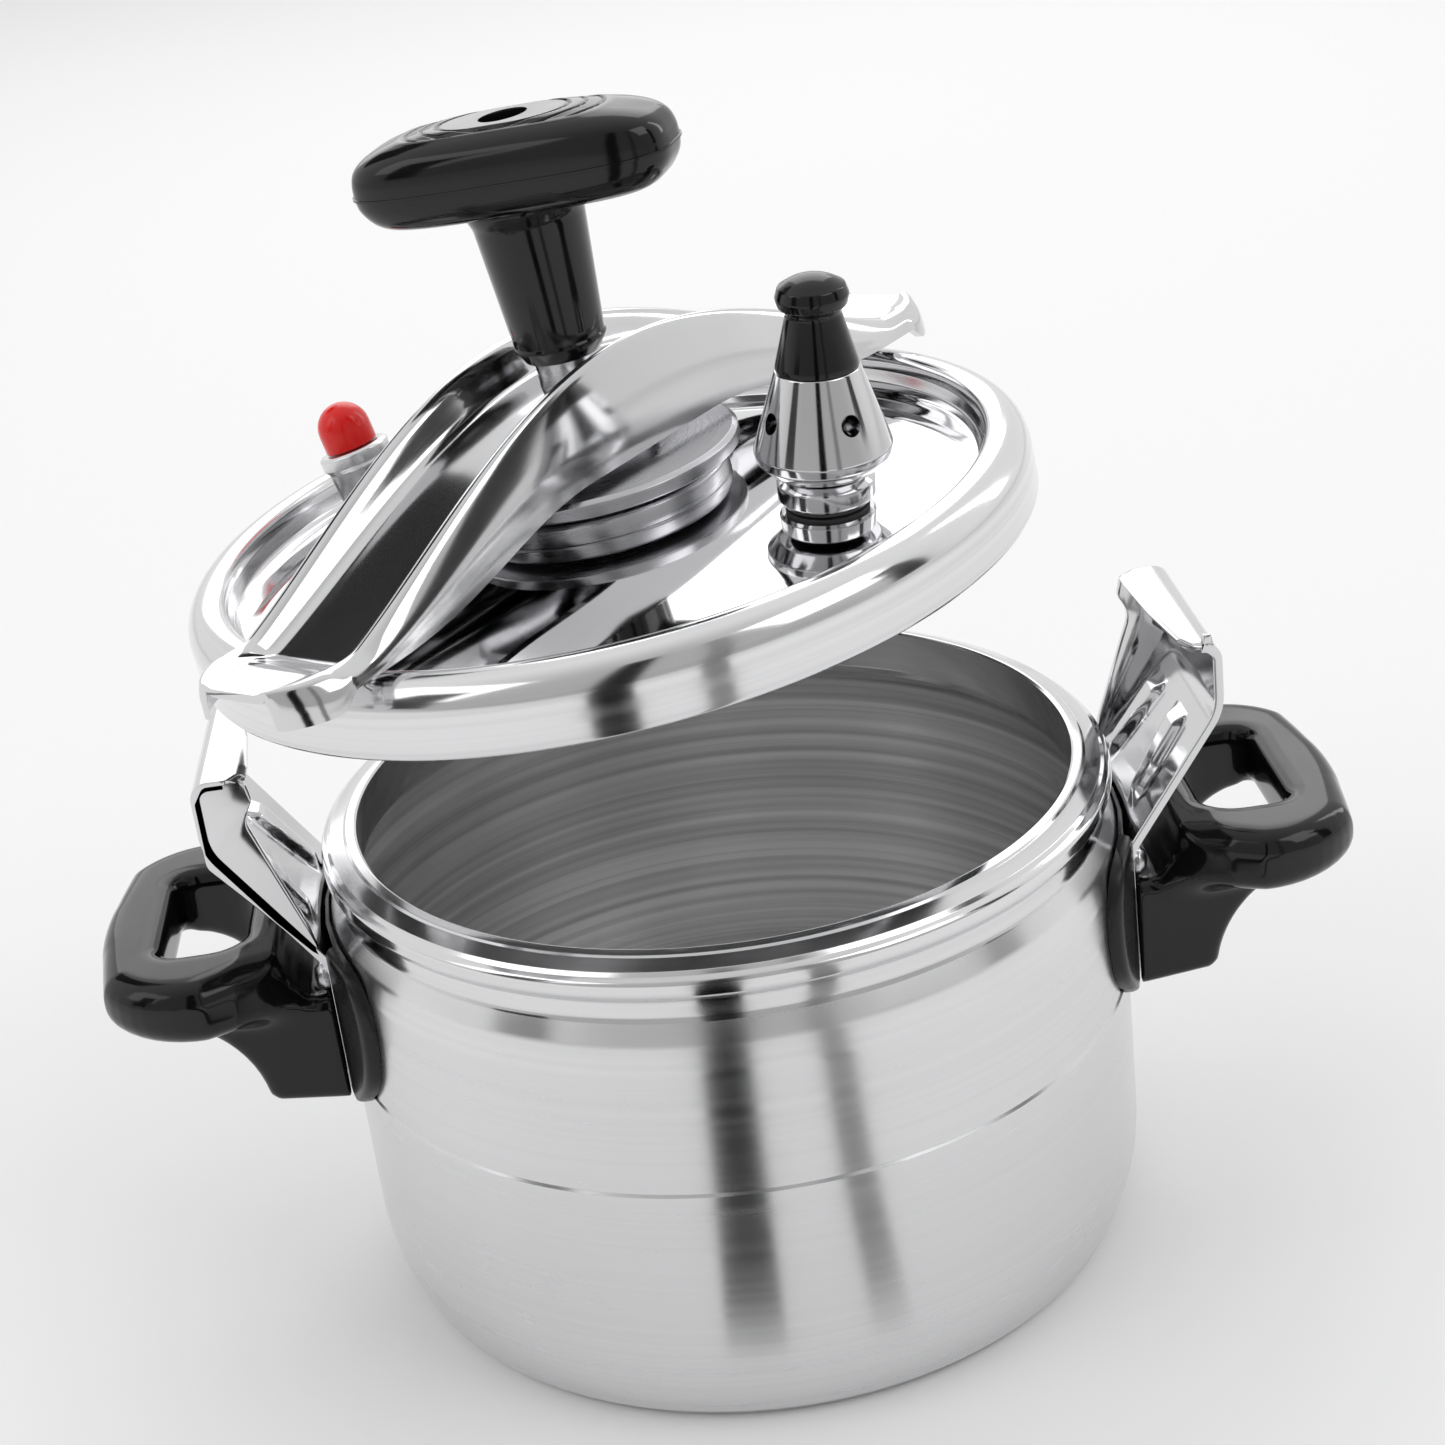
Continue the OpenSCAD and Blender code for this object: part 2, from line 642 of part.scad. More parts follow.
module float_washer() {
    color("#222222") on_dome(float_d, float_az) rotate_extrude()
        polygon([[5, -sheet_t - 2], [8.4, -sheet_t - 2], [8.4, -sheet_t - 0.35], [5, -sheet_t - 0.35]]);
}

module float_nut() {
    color("darkgray") on_dome(float_d, float_az) translate([0, 0, -sheet_t - 5.4]) difference() {
        cylinder(r = 8.2, h = 3.4, $fn = 6);
        translate([0, 0, -1]) cylinder(r = 5, h = 6, $fn = 48);
    }
}

// Light return spring round the float's stem
module float_spring() {
    turns = 4;
    n = 12;
    mid_r = bore_r - 1;
    wire_r = 0.45;
    rise = barrel_h - 6.4 - seat_h;
    rings = [for (i = [0:turns * n]) let (a = 360 * i / n)
        [for (k = [0:5]) let (b = 60 * k, r = mid_r + wire_r * cos(b))
            [r * cos(a), r * sin(a), seat_h + 0.6 + rise * i / (turns * n) + wire_r * sin(b)]]];
    color("lightgray") on_dome(float_d, float_az) tube_mesh(rings);
}

// A closed tube through rings of points of one size
module tube_mesh(rings) {
    m = len(rings[0]);
    n = len(rings);
    polyhedron(
        points = [for (ring = rings) for (p = ring) p],
        faces = concat(
            [[for (k = [0:m - 1]) k]],
            [for (i = [0:n - 2]) for (k = [0:m - 1])
                [i * m + k, (i + 1) * m + k, (i + 1) * m + (k + 1) % m]],
            [for (i = [0:n - 2]) for (k = [0:m - 1])
                [i * m + k, (i + 1) * m + (k + 1) % m, i * m + (k + 1) % m]],
            [[for (k = [m - 1:-1:0]) (n - 1) * m + k]]));
}

// Red float: a dome on a guided plug with a thin stem
module float_cap() {
    color("#d81818") on_dome(float_d, float_az) rotate_extrude()
        polygon(concat(
            [[0, seat_h + 0.4], [2.2, seat_h + 0.4], [2.2, barrel_h - 4.5], [bore_r, barrel_h - 4.5],
             [bore_r, barrel_h + 0.3], [float_r, barrel_h + 0.3], [float_r, barrel_h + 5]],
            arc(0, barrel_h + 5, float_r, 8, 90, 9)));
}

// ---------------------------------------------------------------- clamp
// Disc that the beam and the screw turn with; its hub runs in the lower disc
module upper_disc() {
    hub_low = flat_z + 0.3;
    color("silver") on_lid() rotate_extrude(convexity = 4)
        polygon([[screw_r - 2 + run_fit, hub_low + 2], [screw_r - 2 + run_fit, hub_low],
                 [hub_r - 1, hub_low], [hub_r - 1, hub_low + 1.2], [hub_r, hub_low + 1.2],
                 [hub_r, lower_top_z + 0.3], [lower_disc_r - 9, lower_top_z + 0.3],
                 [lower_disc_r - 9, upper_low_z], [upper_disc_r - 1, upper_low_z],
                 [upper_disc_r, upper_low_z + 1], [upper_disc_r, upper_top_z - 1.6],
                 [upper_disc_r - 1.2, upper_top_z], [screw_r - 2 + run_fit, upper_top_z]]);
}

// Split ring under the lower disc that keeps the hub in
module retaining_ring() {
    color("darkgray") on_lid() translate([0, 0, flat_z + 0.4]) difference() {
        cylinder(r = hub_r + 2.8, h = 1);
        translate([0, 0, -1]) cylinder(r = hub_r - 1, h = 3);
        translate([0, -1.5, -1]) cube([hub_r + 5, 3, 3]);
    }
}

// Cap that traps the screw's collar on the upper disc
module spindle_retainer() {
    color("darkgray") on_lid() translate([0, 0, upper_top_z]) difference() {
        cylinder(r = screw_r + 9.5, h = cap_t);
        translate([0, 0, -1]) cylinder(r = screw_r + 2 + air, h = collar_t + 1.3);
        cylinder(r = screw_r + air, h = cap_t + 1);
        for (a = [0:120:240]) rotate([0, 0, a]) translate([screw_r + 6, 0, -1])
            cylinder(r = 1.5, h = cap_t + 2, $fn = 32);
    }
}

module retainer_screws() {
    color("lightgray") on_lid() for (a = [0:120:240]) rotate([0, 0, a])
        translate([screw_r + 6, 0, upper_top_z]) {
            cylinder(r = 1.5, h = cap_t, $fn = 32);
            translate([0, 0, cap_t]) cylinder(r1 = 2.5, r2 = 1.9, h = 1.2, $fn = 32);
        }
}

// Share of the arch's height left at distance u from the middle
function arch(u) = let (w = min(abs(u) / beam_arch_l, 1)) 0.5 + 0.5 * cos(180 * w);
function ridge_z(u) =
    beam_tip + (beam_top - beam_tip) * pow(arch(u), 0.6) - 2.6 * (1 - tongue(u)) * (1 - arch(u));
function skirt_z(u) =
    let (flat_l = 22, w = min(max(abs(u) - flat_l, 0) / (beam_arch_l - flat_l), 1),
         drop = min(max((abs(u) - rim_r - 0.5) / 6, 0), 1), low = roll_r + 1.6)
    low + (upper_top_z + 2.4 - low) * pow(0.5 + 0.5 * cos(180 * w), 1.7) - 3.6 * drop * drop * (3 - 2 * drop);
// 0 along the arch, 1 at the tongue-shaped ends
function tongue(u) = let (w = min(max((abs(u) - (beam_l - 22)) / 12, 0), 1)) w * w * (3 - 2 * w);
function valley_z(u) = ridge_z(u) - (4 + (valley_d - 4) * pow(arch(u), 0.6)) * (1 - 0.75 * tongue(u));
// Share of the full width: the ends round off
function end_width(u) = let (s = max(0, (abs(u) - (beam_l - 14)) / 14)) sqrt(1 - 0.66 * s * s);

// Upper surface of the beam across its width: skirt, ridge, valley, ridge, skirt
function beam_section(u) =
    let (k = end_width(u), r = ridge_z(u), v = valley_z(u), s = min(skirt_z(u), r - 3),
         half = [[beam_hw, s], [beam_hw - 0.8, s + (r - s) * 0.55], [beam_hw - 2.6, r - 0.9],
                 [beam_hw - 4.6, r], [beam_hw - 6.4, r + (v - r) * 0.2],
                 [beam_hw - 8.2, r + (v - r) * 0.75], [beam_hw - 10.4, v + (r - v) * 0.04]])
    concat([for (p = half) [-p[0] * k, p[1]]], [[0, v]], [for (p = backwards(half)) [p[0] * k, p[1]]]);

// Pressed arch whose ends go under the ears' hooks
module clamp_beam() {
    n = 40;
    rings = [for (i = [0:n]) let (u = -beam_l + 2 * beam_l * i / n)
        [for (p = ribbon(beam_section(u), -beam_t)) [u, p[0], p[1]]]];
    color("silver") on_lid() rotate([0, 0, beam_az]) difference() {
        tube_mesh(rings);
        translate([0, 0, boss_low_z]) cylinder(r = screw_r + 1.65, h = 30);
    }
}

// Threaded boss under the beam's middle
module beam_boss() {
    color("darkgray") on_lid() translate([0, 0, boss_low_z]) difference() {
        union() {
            cylinder(r = boss_r, h = boss_top_z - boss_low_z);
            cylinder(r = screw_r + 1.6, h = beam_top - valley_d - 0.5 - boss_low_z);
        }
        translate([0, 0, -1]) cylinder(r = screw_r + run_fit, h = 30);
    }
}

// Screw with a thrust collar, turned by the knob
module screw_spindle() {
    color("lightgray") on_lid() {
        translate([0, 0, flat_z + 1]) cylinder(r = screw_r - 2, h = upper_top_z - flat_z);
        translate([0, 0, upper_top_z + 0.1]) cylinder(r = screw_r + 2, h = collar_t);
        translate([0, 0, upper_top_z + 1]) cylinder(r = screw_r, h = stem_low_z + 24 - upper_top_z - 1);
    }
}

// Plan of the knob's bar at one height: an oval with full ends, drawn in by dl and dw
module knob_slice(z, dl, dw) {
    l = knob_hl - dl;
    w = knob_hw - dw;
    corners = 64;
    fullness = 0.6;
    translate([0, 0, z]) linear_extrude(eps)
        polygon([for (i = [0:corners - 1]) let (c = cos(i * 360 / corners), s = sin(i * 360 / corners))
            [l * sign(c) * pow(abs(c), fullness), w * sign(s) * pow(abs(s), fullness)]]);
}

// The knob's bar: widest at the parting line, with a crowned top
module knob_bar() {
    parting = knob_low_z + knob_t * 0.42;
    hull() {
        knob_slice(knob_low_z, 7, 5);
        knob_slice(knob_low_z + 2, 3.5, 1.4);
        knob_slice(parting, 0, 0);
        knob_slice(knob_top - 6.5, 1, 0.5);
        knob_slice(knob_top - 3.5, 5, 2.2);
        knob_slice(knob_top - 1.2, 11, 4.6);
        knob_slice(knob_top - eps, 17, 7.5);
    }
}

// Moulded T knob: the bar on a tapered stem
module knob_handle() {
    color("#121212") on_lid() rotate([0, 0, knob_az]) difference() {
        union() {
            knob_bar();
            rotate_extrude() polygon([[screw_r, stem_low_z], [stem_r - 2.4, stem_low_z],
                                      [stem_r, stem_low_z + 3.6], [stem_r + 1.9, knob_low_z - 2],
                                      [stem_r + 3.4, knob_low_z + 1], [screw_r, knob_low_z + 1]]);
        }
        translate([0, 0, stem_low_z - 1]) cylinder(r = screw_r, h = 25);
        translate([0, 0, stem_low_z + 20]) cylinder(r = 3, h = knob_top, $fn = 32);
        translate([0, 0, knob_top - 9]) cylinder(r = 5.6, h = 20);
        for (g = [12, 15, 18]) translate([0, 0, knob_top - 0.7]) linear_extrude(2) difference() {
            scale([1.3, 0.78]) circle(r = g + 0.35);
            scale([1.3, 0.78]) circle(r = g - 0.35);
        }
    }
}

module knob_screw() {
    head_z = knob_top - 9;
    screw_top = stem_low_z + 24;
    color("darkgray") on_lid() {
        translate([0, 0, head_z]) cylinder(r = 4.8, h = 3, $fn = 48);
        translate([0, 0, screw_top]) cylinder(r = 3, h = head_z - screw_top, $fn = 32);
    }
}

pot_body();
right_ear();
left_ear();
ear_rivets();
right_handle();
left_handle();
right_pad();
left_pad();
handle_screws();
lid_shell();
sealing_gasket();
lower_disc();
disc_rivets();
vent_pipe();
vent_collar();
vent_washer();
vent_nut();
vent_filter();
float_barrel();
float_washer();
float_nut();
float_spring();
float_cap();
regulator_weight();
regulator_cap();
regulator_needle();
upper_disc();
retaining_ring();
spindle_retainer();
retainer_screws();
clamp_beam();
beam_boss();
screw_spindle();
knob_handle();
knob_screw();
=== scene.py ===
"""Looks of a bridge-clamp pressure canner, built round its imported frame."""

import json
import logging
import math
from dataclasses import dataclass
from enum import Enum
from typing import Callable, Sequence

import bmesh
import bpy
import numpy as np
from mathutils import Matrix, Vector


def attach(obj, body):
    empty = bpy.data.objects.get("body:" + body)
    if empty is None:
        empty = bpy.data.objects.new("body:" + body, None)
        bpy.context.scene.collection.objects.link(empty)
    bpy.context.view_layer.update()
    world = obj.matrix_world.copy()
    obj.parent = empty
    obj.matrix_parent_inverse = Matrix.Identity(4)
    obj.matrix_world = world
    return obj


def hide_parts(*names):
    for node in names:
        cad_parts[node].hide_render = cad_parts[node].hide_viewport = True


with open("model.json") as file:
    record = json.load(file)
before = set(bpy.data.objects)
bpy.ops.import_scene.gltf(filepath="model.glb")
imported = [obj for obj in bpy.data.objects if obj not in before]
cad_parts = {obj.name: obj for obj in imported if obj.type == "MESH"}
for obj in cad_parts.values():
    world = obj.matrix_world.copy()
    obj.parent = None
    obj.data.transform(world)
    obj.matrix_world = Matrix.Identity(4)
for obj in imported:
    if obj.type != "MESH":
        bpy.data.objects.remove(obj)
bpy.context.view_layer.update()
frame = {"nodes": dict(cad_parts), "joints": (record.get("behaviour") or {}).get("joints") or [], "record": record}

MM = 0.001
LOG = logging.getLogger("canner")

Outline = Sequence[tuple[float, ...]]


# ------------------------------------------------------------------ places
@dataclass(frozen=True)
class Place:
    """A local frame in the row frame: origin in millimetres, and its three axes."""

    origin: tuple[float, float, float] = (0.0, 0.0, 0.0)
    axes: tuple[tuple[float, float, float], ...] = ((1.0, 0.0, 0.0), (0.0, 1.0, 0.0), (0.0, 0.0, 1.0))

    def to_row(self, points: np.ndarray) -> np.ndarray:
        """Local points as row-frame points, both in millimetres."""
        return np.asarray(self.origin) + np.asarray(points, float) @ np.asarray(self.axes)

    def moved(self, x: float, y: float, z: float) -> "Place":
        """The frame moved along its own axes."""
        return Place(tuple(self.to_row(np.array([x, y, z]))), self.axes)

    def turned(self, degrees: float) -> "Place":
        """The frame turned about its own z axis.

        Args:
            degrees: Angle, counter-clockwise from above.

        Returns:
            The turned frame.
        """
        c, s = math.cos(math.radians(degrees)), math.sin(math.radians(degrees))
        x, y, z = (np.array(a) for a in self.axes)
        return Place(self.origin, (tuple(c * x + s * y), tuple(c * y - s * x), tuple(z)))

    def tipped(self, degrees: float) -> "Place":
        """The frame tipped about its own y axis, z towards x.

        Args:
            degrees: Angle, z towards x.

        Returns:
            The tipped frame.
        """
        c, s = math.cos(math.radians(degrees)), math.sin(math.radians(degrees))
        x, y, z = (np.array(a) for a in self.axes)
        return Place(self.origin, (tuple(c * x - s * z), tuple(y), tuple(s * x + c * z)))

    def matrix(self) -> Matrix:
        """Local metres to row-frame metres.

        Returns:
            The matrix that places a local mesh.
        """
        m = Matrix(self.axes).transposed().to_4x4()
        m.translation = Vector(self.origin) * MM
        return m


ROW = Place()


def joint(name: str) -> dict:
    """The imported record's joint of that name."""
    return next(j for j in frame["joints"] if j["name"] == name)


def lid_place() -> Place:
    """The lifted lid's own frame: z along its axis, 0 at the middle of the rim's roll.

    Returns:
        The frame that the lid's, disc's, beam's and knob's shapes are drawn in.
    """
    turn = joint("lid_turn")
    z = np.array(turn["axis"], float)
    z /= np.linalg.norm(z)
    x = np.array([z[2], 0.0, -z[0]])
    return Place(tuple(np.array(turn["pos_m"]) / MM), (tuple(x), (0.0, 1.0, 0.0), tuple(z)))


LID = lid_place()


# ------------------------------------------------------------------ outlines
def rounded(corners: Outline, steps: int = 5) -> list[tuple[float, float]]:
    """A line through corners, each with an optional third number, its fillet.

    Args:
        corners: (across, up) or (across, up, fillet) in millimetres.
        steps: Pieces in each fillet.

    Returns:
        The points of the line.
    """
    out: list[tuple[float, float]] = []
    for i, corner in enumerate(corners):
        p = np.array(corner[:2], float)
        fillet = corner[2] if len(corner) > 2 else 0.0
        if fillet <= 0 or i in (0, len(corners) - 1):
            out.append((p[0], p[1]))
            continue
        a, b = np.array(corners[i - 1][:2]) - p, np.array(corners[i + 1][:2]) - p
        la, lb = np.linalg.norm(a), np.linalg.norm(b)
        u, v = a / la, b / lb
        half = math.acos(float(np.clip(u @ v, -1, 1))) / 2
        if half > 1.56:
            out.append((p[0], p[1]))
            continue
        t = min(fillet / math.tan(half), 0.48 * la, 0.48 * lb)
        r = t * math.tan(half)
        mid = p + (u + v) / np.linalg.norm(u + v) * r / math.sin(half)
        s, e = p + u * t - mid, p + v * t - mid
        a0 = math.atan2(s[1], s[0])
        turn = (math.atan2(e[1], e[0]) - a0 + math.pi) % (2 * math.pi) - math.pi
        for k in range(steps + 1):
            g = a0 + turn * k / steps
            out.append((mid[0] + r * math.cos(g), mid[1] + r * math.sin(g)))
    return out


def arc(cx: float, cy: float, r: float, a0: float, a1: float, n: int) -> list[tuple[float, float]]:
    """Points on an arc, from angle a0 to a1 in degrees."""
    angles = np.radians(np.linspace(a0, a1, n + 1))
    return [(cx + r * math.cos(a), cy + r * math.sin(a)) for a in angles]


def shifted(line: Outline, t: float) -> list[tuple[float, float]]:
    """The line moved sideways by t, to the left of its direction.

    Args:
        line: Points of the line.
        t: How far, in millimetres.

    Returns:
        The points of the moved line.
    """
    p = np.array([c[:2] for c in line], float)
    d = np.gradient(p, axis=0)
    d /= np.linalg.norm(d, axis=1)[:, None]
    return [tuple(q) for q in p + t * np.stack([-d[:, 1], d[:, 0]], 1)]


def smooth_line(points: Outline, n: int) -> np.ndarray:
    """A smooth curve with n points through the given points (a Catmull-Rom curve).

    Args:
        points: Points to pass through, of any number of axes.
        n: How many points to return.

    Returns:
        The points of the curve.
    """
    p = np.array(points, float)
    q = np.vstack([2 * p[0] - p[1], p, 2 * p[-1] - p[-2]])
    out = []
    for u in np.linspace(0, len(p) - 1 - 1e-9, n):
        i, f = int(u), u - int(u)
        a, b, c, d = q[i : i + 4]
        out.append(0.5 * (2 * b + (c - a) * f + (2 * a - 5 * b + 4 * c - d) * f**2
                          + (3 * b - a - 3 * c + d) * f**3))
    return np.array(out)


def smoothstep(v: np.ndarray | float) -> np.ndarray | float:
    """0 below 0, 1 above 1, and an even S between them."""
    w = np.clip(v, 0, 1)
    return w * w * (3 - 2 * w)


# ------------------------------------------------------------------ meshes
def tidy_mesh(mesh: bpy.types.Mesh, crease: float) -> None:
    """Merges doubles, turns faces outwards, and shades smooth up to the crease angle.

    Args:
        mesh: The mesh to mend.
        crease: Edges sharper than this angle in degrees stay sharp.
    """
    bm = bmesh.new()
    bm.from_mesh(mesh)
    bmesh.ops.remove_doubles(bm, verts=bm.verts, dist=2e-6)
    bmesh.ops.dissolve_degenerate(bm, edges=bm.edges, dist=1e-6)
    bmesh.ops.recalc_face_normals(bm, faces=bm.faces)
    bm.to_mesh(mesh)
    bm.free()
    mesh.shade_smooth()
    mesh.set_sharp_from_angle(angle=math.radians(crease))


def piece(name: str, points: np.ndarray, faces: Sequence[Sequence[int]], place: Place = ROW,
          crease: float = 34.0) -> bpy.types.Object:
    """A new mesh object with its place in its mesh.

    Args:
        name: The piece's name.
        points: Local points in millimetres.
        faces: Point numbers of each face.
        place: The local frame that the points are in.
        crease: Edges sharper than this angle in degrees stay sharp.

    Returns:
        The object, at the origin.
    """
    mesh = bpy.data.meshes.new(name)
    mesh.from_pydata((place.to_row(points) * MM).tolist(), [], [list(map(int, f)) for f in faces])
    tidy_mesh(mesh, crease)
    obj = bpy.data.objects.new(name, mesh)
    bpy.context.scene.collection.objects.link(obj)
    return obj


def bake(obj: bpy.types.Object, place: Place = ROW, crease: float = 34.0) -> bpy.types.Object:
    """Turns the evaluated object into a plain mesh, puts it in place, and drops its modifiers.

    Args:
        obj: The object, drawn at the origin.
        place: Where its mesh goes.
        crease: Edges sharper than this angle stay sharp.

    Returns:
        The same object, now plain.
    """
    bpy.context.view_layer.update()
    evaluated = obj.evaluated_get(bpy.context.evaluated_depsgraph_get())
    mesh = bpy.data.meshes.new_from_object(evaluated)
    obj.modifiers.clear()
    obj.data = mesh
    mesh.transform(place.matrix())
    tidy_mesh(mesh, crease)
    return obj


def soften(obj: bpy.types.Object, width: float, angle: float = 50.0) -> bpy.types.Object:
    """Rounds the sharp edges of a piece by a small bevel, as part of its mesh.

    Args:
        obj: The piece.
        width: Width of the bevel in millimetres.
        angle: Edges sharper than this angle are rounded.

    Returns:
        The same piece.
    """
    bevel = obj.modifiers.new("edge", "BEVEL")
    bevel.width = width * MM
    bevel.segments = 2
    bevel.limit_method = "ANGLE"
    bevel.angle_limit = math.radians(angle)
    return bake(obj)


def ring_loft(rings: np.ndarray, ends: bool = True) -> tuple[np.ndarray, list[list[int]]]:
    """Points and faces of a tube through rings of points, with its ends closed.

    Args:
        rings: Rings of points, each with as many points.
        ends: Closes the first and the last ring.

    Returns:
        Points and faces.
    """
    n, m = rings.shape[:2]
    faces = [[i * m + k, (i + 1) * m + k, (i + 1) * m + (k + 1) % m, i * m + (k + 1) % m]
             for i in range(n - 1) for k in range(m)]
    if ends:
        faces += [list(range(m - 1, -1, -1)), [(n - 1) * m + k for k in range(m)]]
    return rings.reshape(-1, 3), faces


def thick_sheet(outer: np.ndarray, inner: np.ndarray) -> tuple[np.ndarray, list[list[int]]]:
    """A closed sheet between two grids of points of the same shape.

    Args:
        outer: Grid of points of one face.
        inner: Grid of points of the other face.

    Returns:
        Points and faces.
    """
    n, m = outer.shape[:2]
    faces: list[list[int]] = []
    size = n * m
    for base in (0, size):
        faces += [[base + i * m + k, base + (i + 1) * m + k, base + (i + 1) * m + k + 1, base + i * m + k + 1]
                  for i in range(n - 1) for k in range(m - 1)]
    rim = ([i * m for i in range(n)] + [(n - 1) * m + k for k in range(1, m)]
           + [i * m + m - 1 for i in range(n - 2, -1, -1)] + [k for k in range(m - 2, 0, -1)])
    faces += [[a, b, b + size, a + size] for a, b in zip(rim, rim[1:] + rim[:1])]
    return np.vstack([outer.reshape(-1, 3), inner.reshape(-1, 3)]), faces


def slab(name: str, outline: Outline, y0: float, y1: float, place: Place = ROW) -> bpy.types.Object:
    """A plate with an (x, z) outline between two y levels.

    Args:
        name: The plate's name.
        outline: Its (x, z) points.
        y0: One face.
        y1: The other face.
        place: Its frame.

    Returns:
        The plate.
    """
    pts = [(x, y, z) for y in (y0, y1) for x, z in outline]
    n = len(outline)
    faces = [list(range(n)), list(range(2 * n - 1, n - 1, -1))]
    faces += [[k, (k + 1) % n, n + (k + 1) % n, n + k] for k in range(n)]
    return piece(name, np.array(pts), faces, place)


# ------------------------------------------------------------------ moulded shapes as distances
def polygon_distance(px: np.ndarray, py: np.ndarray, outline: Outline) -> np.ndarray:
    """Distance to a closed outline, negative inside it.

    Args:
        px: First coordinate of the places asked about.
        py: Second coordinate.
        outline: Corners of the outline.

    Returns:
        The distances.
    """
    best = np.full(np.broadcast(px, py).shape, np.inf)
    inside = np.zeros(best.shape, bool)
    for (ax, ay), (bx, by) in zip(outline, list(outline[1:]) + [outline[0]]):
        ex, ey = bx - ax, by - ay
        wx, wy = px - ax, py - ay
        t = np.clip((wx * ex + wy * ey) / max(ex * ex + ey * ey, 1e-12), 0, 1)
        best = np.minimum(best, (wx - ex * t) ** 2 + (wy - ey * t) ** 2)
        if abs(ey) > 1e-12:
            inside ^= ((ay > py) != (by > py)) & (wx < ex * wy / ey)
    return np.where(inside, -np.sqrt(best), np.sqrt(best))


def blend_union(a: np.ndarray, b: np.ndarray, k: float) -> np.ndarray:
    """Union of two distances with a fillet of about k."""
    h = np.clip(0.5 + 0.5 * (b - a) / k, 0, 1)
    return b * (1 - h) + a * h - k * h * (1 - h)


def round_meet(a: np.ndarray, b: np.ndarray, r: float) -> np.ndarray:
    """Intersection of two distances with edges rounded by r."""
    qa, qb = a + r, b + r
    return np.hypot(np.maximum(qa, 0), np.maximum(qb, 0)) + np.minimum(np.maximum(qa, qb), 0) - r


def skin(distance: Callable[[np.ndarray, np.ndarray, np.ndarray], np.ndarray], low: Sequence[float],
         high: Sequence[float], cell: float) -> tuple[np.ndarray, list[list[int]]]:
    """The surface where a distance is 0, as quads.

    Args:
        distance: Function of x, y and z grids in millimetres, negative inside.
        low: Lowest corner of the grid.
        high: Highest corner of the grid.
        cell: Size of a grid cell.

    Returns:
        Points and faces.
    """
    axes = [np.arange(a, b + cell, cell) for a, b in zip(low, high)]
    x, y, z = np.meshgrid(*axes, indexing="ij", sparse=True)
    f = distance(x, y, z)
    dims = np.array(f.shape)
    total = np.zeros((*(dims - 1), 3))
    count = np.zeros(dims - 1)
    crossings = []
    for axis in range(3):
        a = np.take(f, range(dims[axis] - 1), axis)
        b = np.take(f, range(1, dims[axis]), axis)
        cross = (a < 0) != (b < 0)
        where = np.stack(np.indices(a.shape), -1).astype(float)
        where[..., axis] += np.where(cross, a / np.where(cross, a - b, 1), 0)
        one, two = [d for d in range(3) if d != axis]
        for o1 in (0, 1):
            for o2 in (0, 1):
                pick = [slice(None)] * 3
                pick[one] = slice(o1, o1 + dims[one] - 1)
                pick[two] = slice(o2, o2 + dims[two] - 1)
                hit = cross[tuple(pick)]
                total[hit] += where[tuple(pick)][hit]
                count[hit] += 1
        crossings.append((cross, one, two))
    ids = np.full(dims - 1, -1)
    active = count > 0
    ids[active] = np.arange(active.sum())
    points = np.array(low) + total[active] / count[active][:, None] * cell
    faces = []
    for cross, one, two in crossings:
        e = np.argwhere(cross)
        e = e[(e[:, one] > 0) & (e[:, two] > 0) & (e[:, one] < dims[one] - 1) & (e[:, two] < dims[two] - 1)]
        s1, s2 = np.eye(3, dtype=int)[one], np.eye(3, dtype=int)[two]
        corner = [ids[tuple(q.T)] for q in (e, e - s1, e - s1 - s2, e - s2)]
        faces += np.stack(corner, 1).tolist()
    return points, faces


def relax(obj: bpy.types.Object, rounds: int) -> bpy.types.Object:
    """Evens out a gridded surface.

    Args:
        obj: The piece.
        rounds: How many times each point moves half way to its neighbours.

    Returns:
        The same piece.
    """
    bm = bmesh.new()
    bm.from_mesh(obj.data)
    for _ in range(rounds):
        bmesh.ops.smooth_vert(bm, verts=bm.verts, factor=0.5, use_axis_x=True, use_axis_y=True,
                              use_axis_z=True)
    bm.to_mesh(obj.data)
    bm.free()
    obj.data.shade_smooth()
    return obj


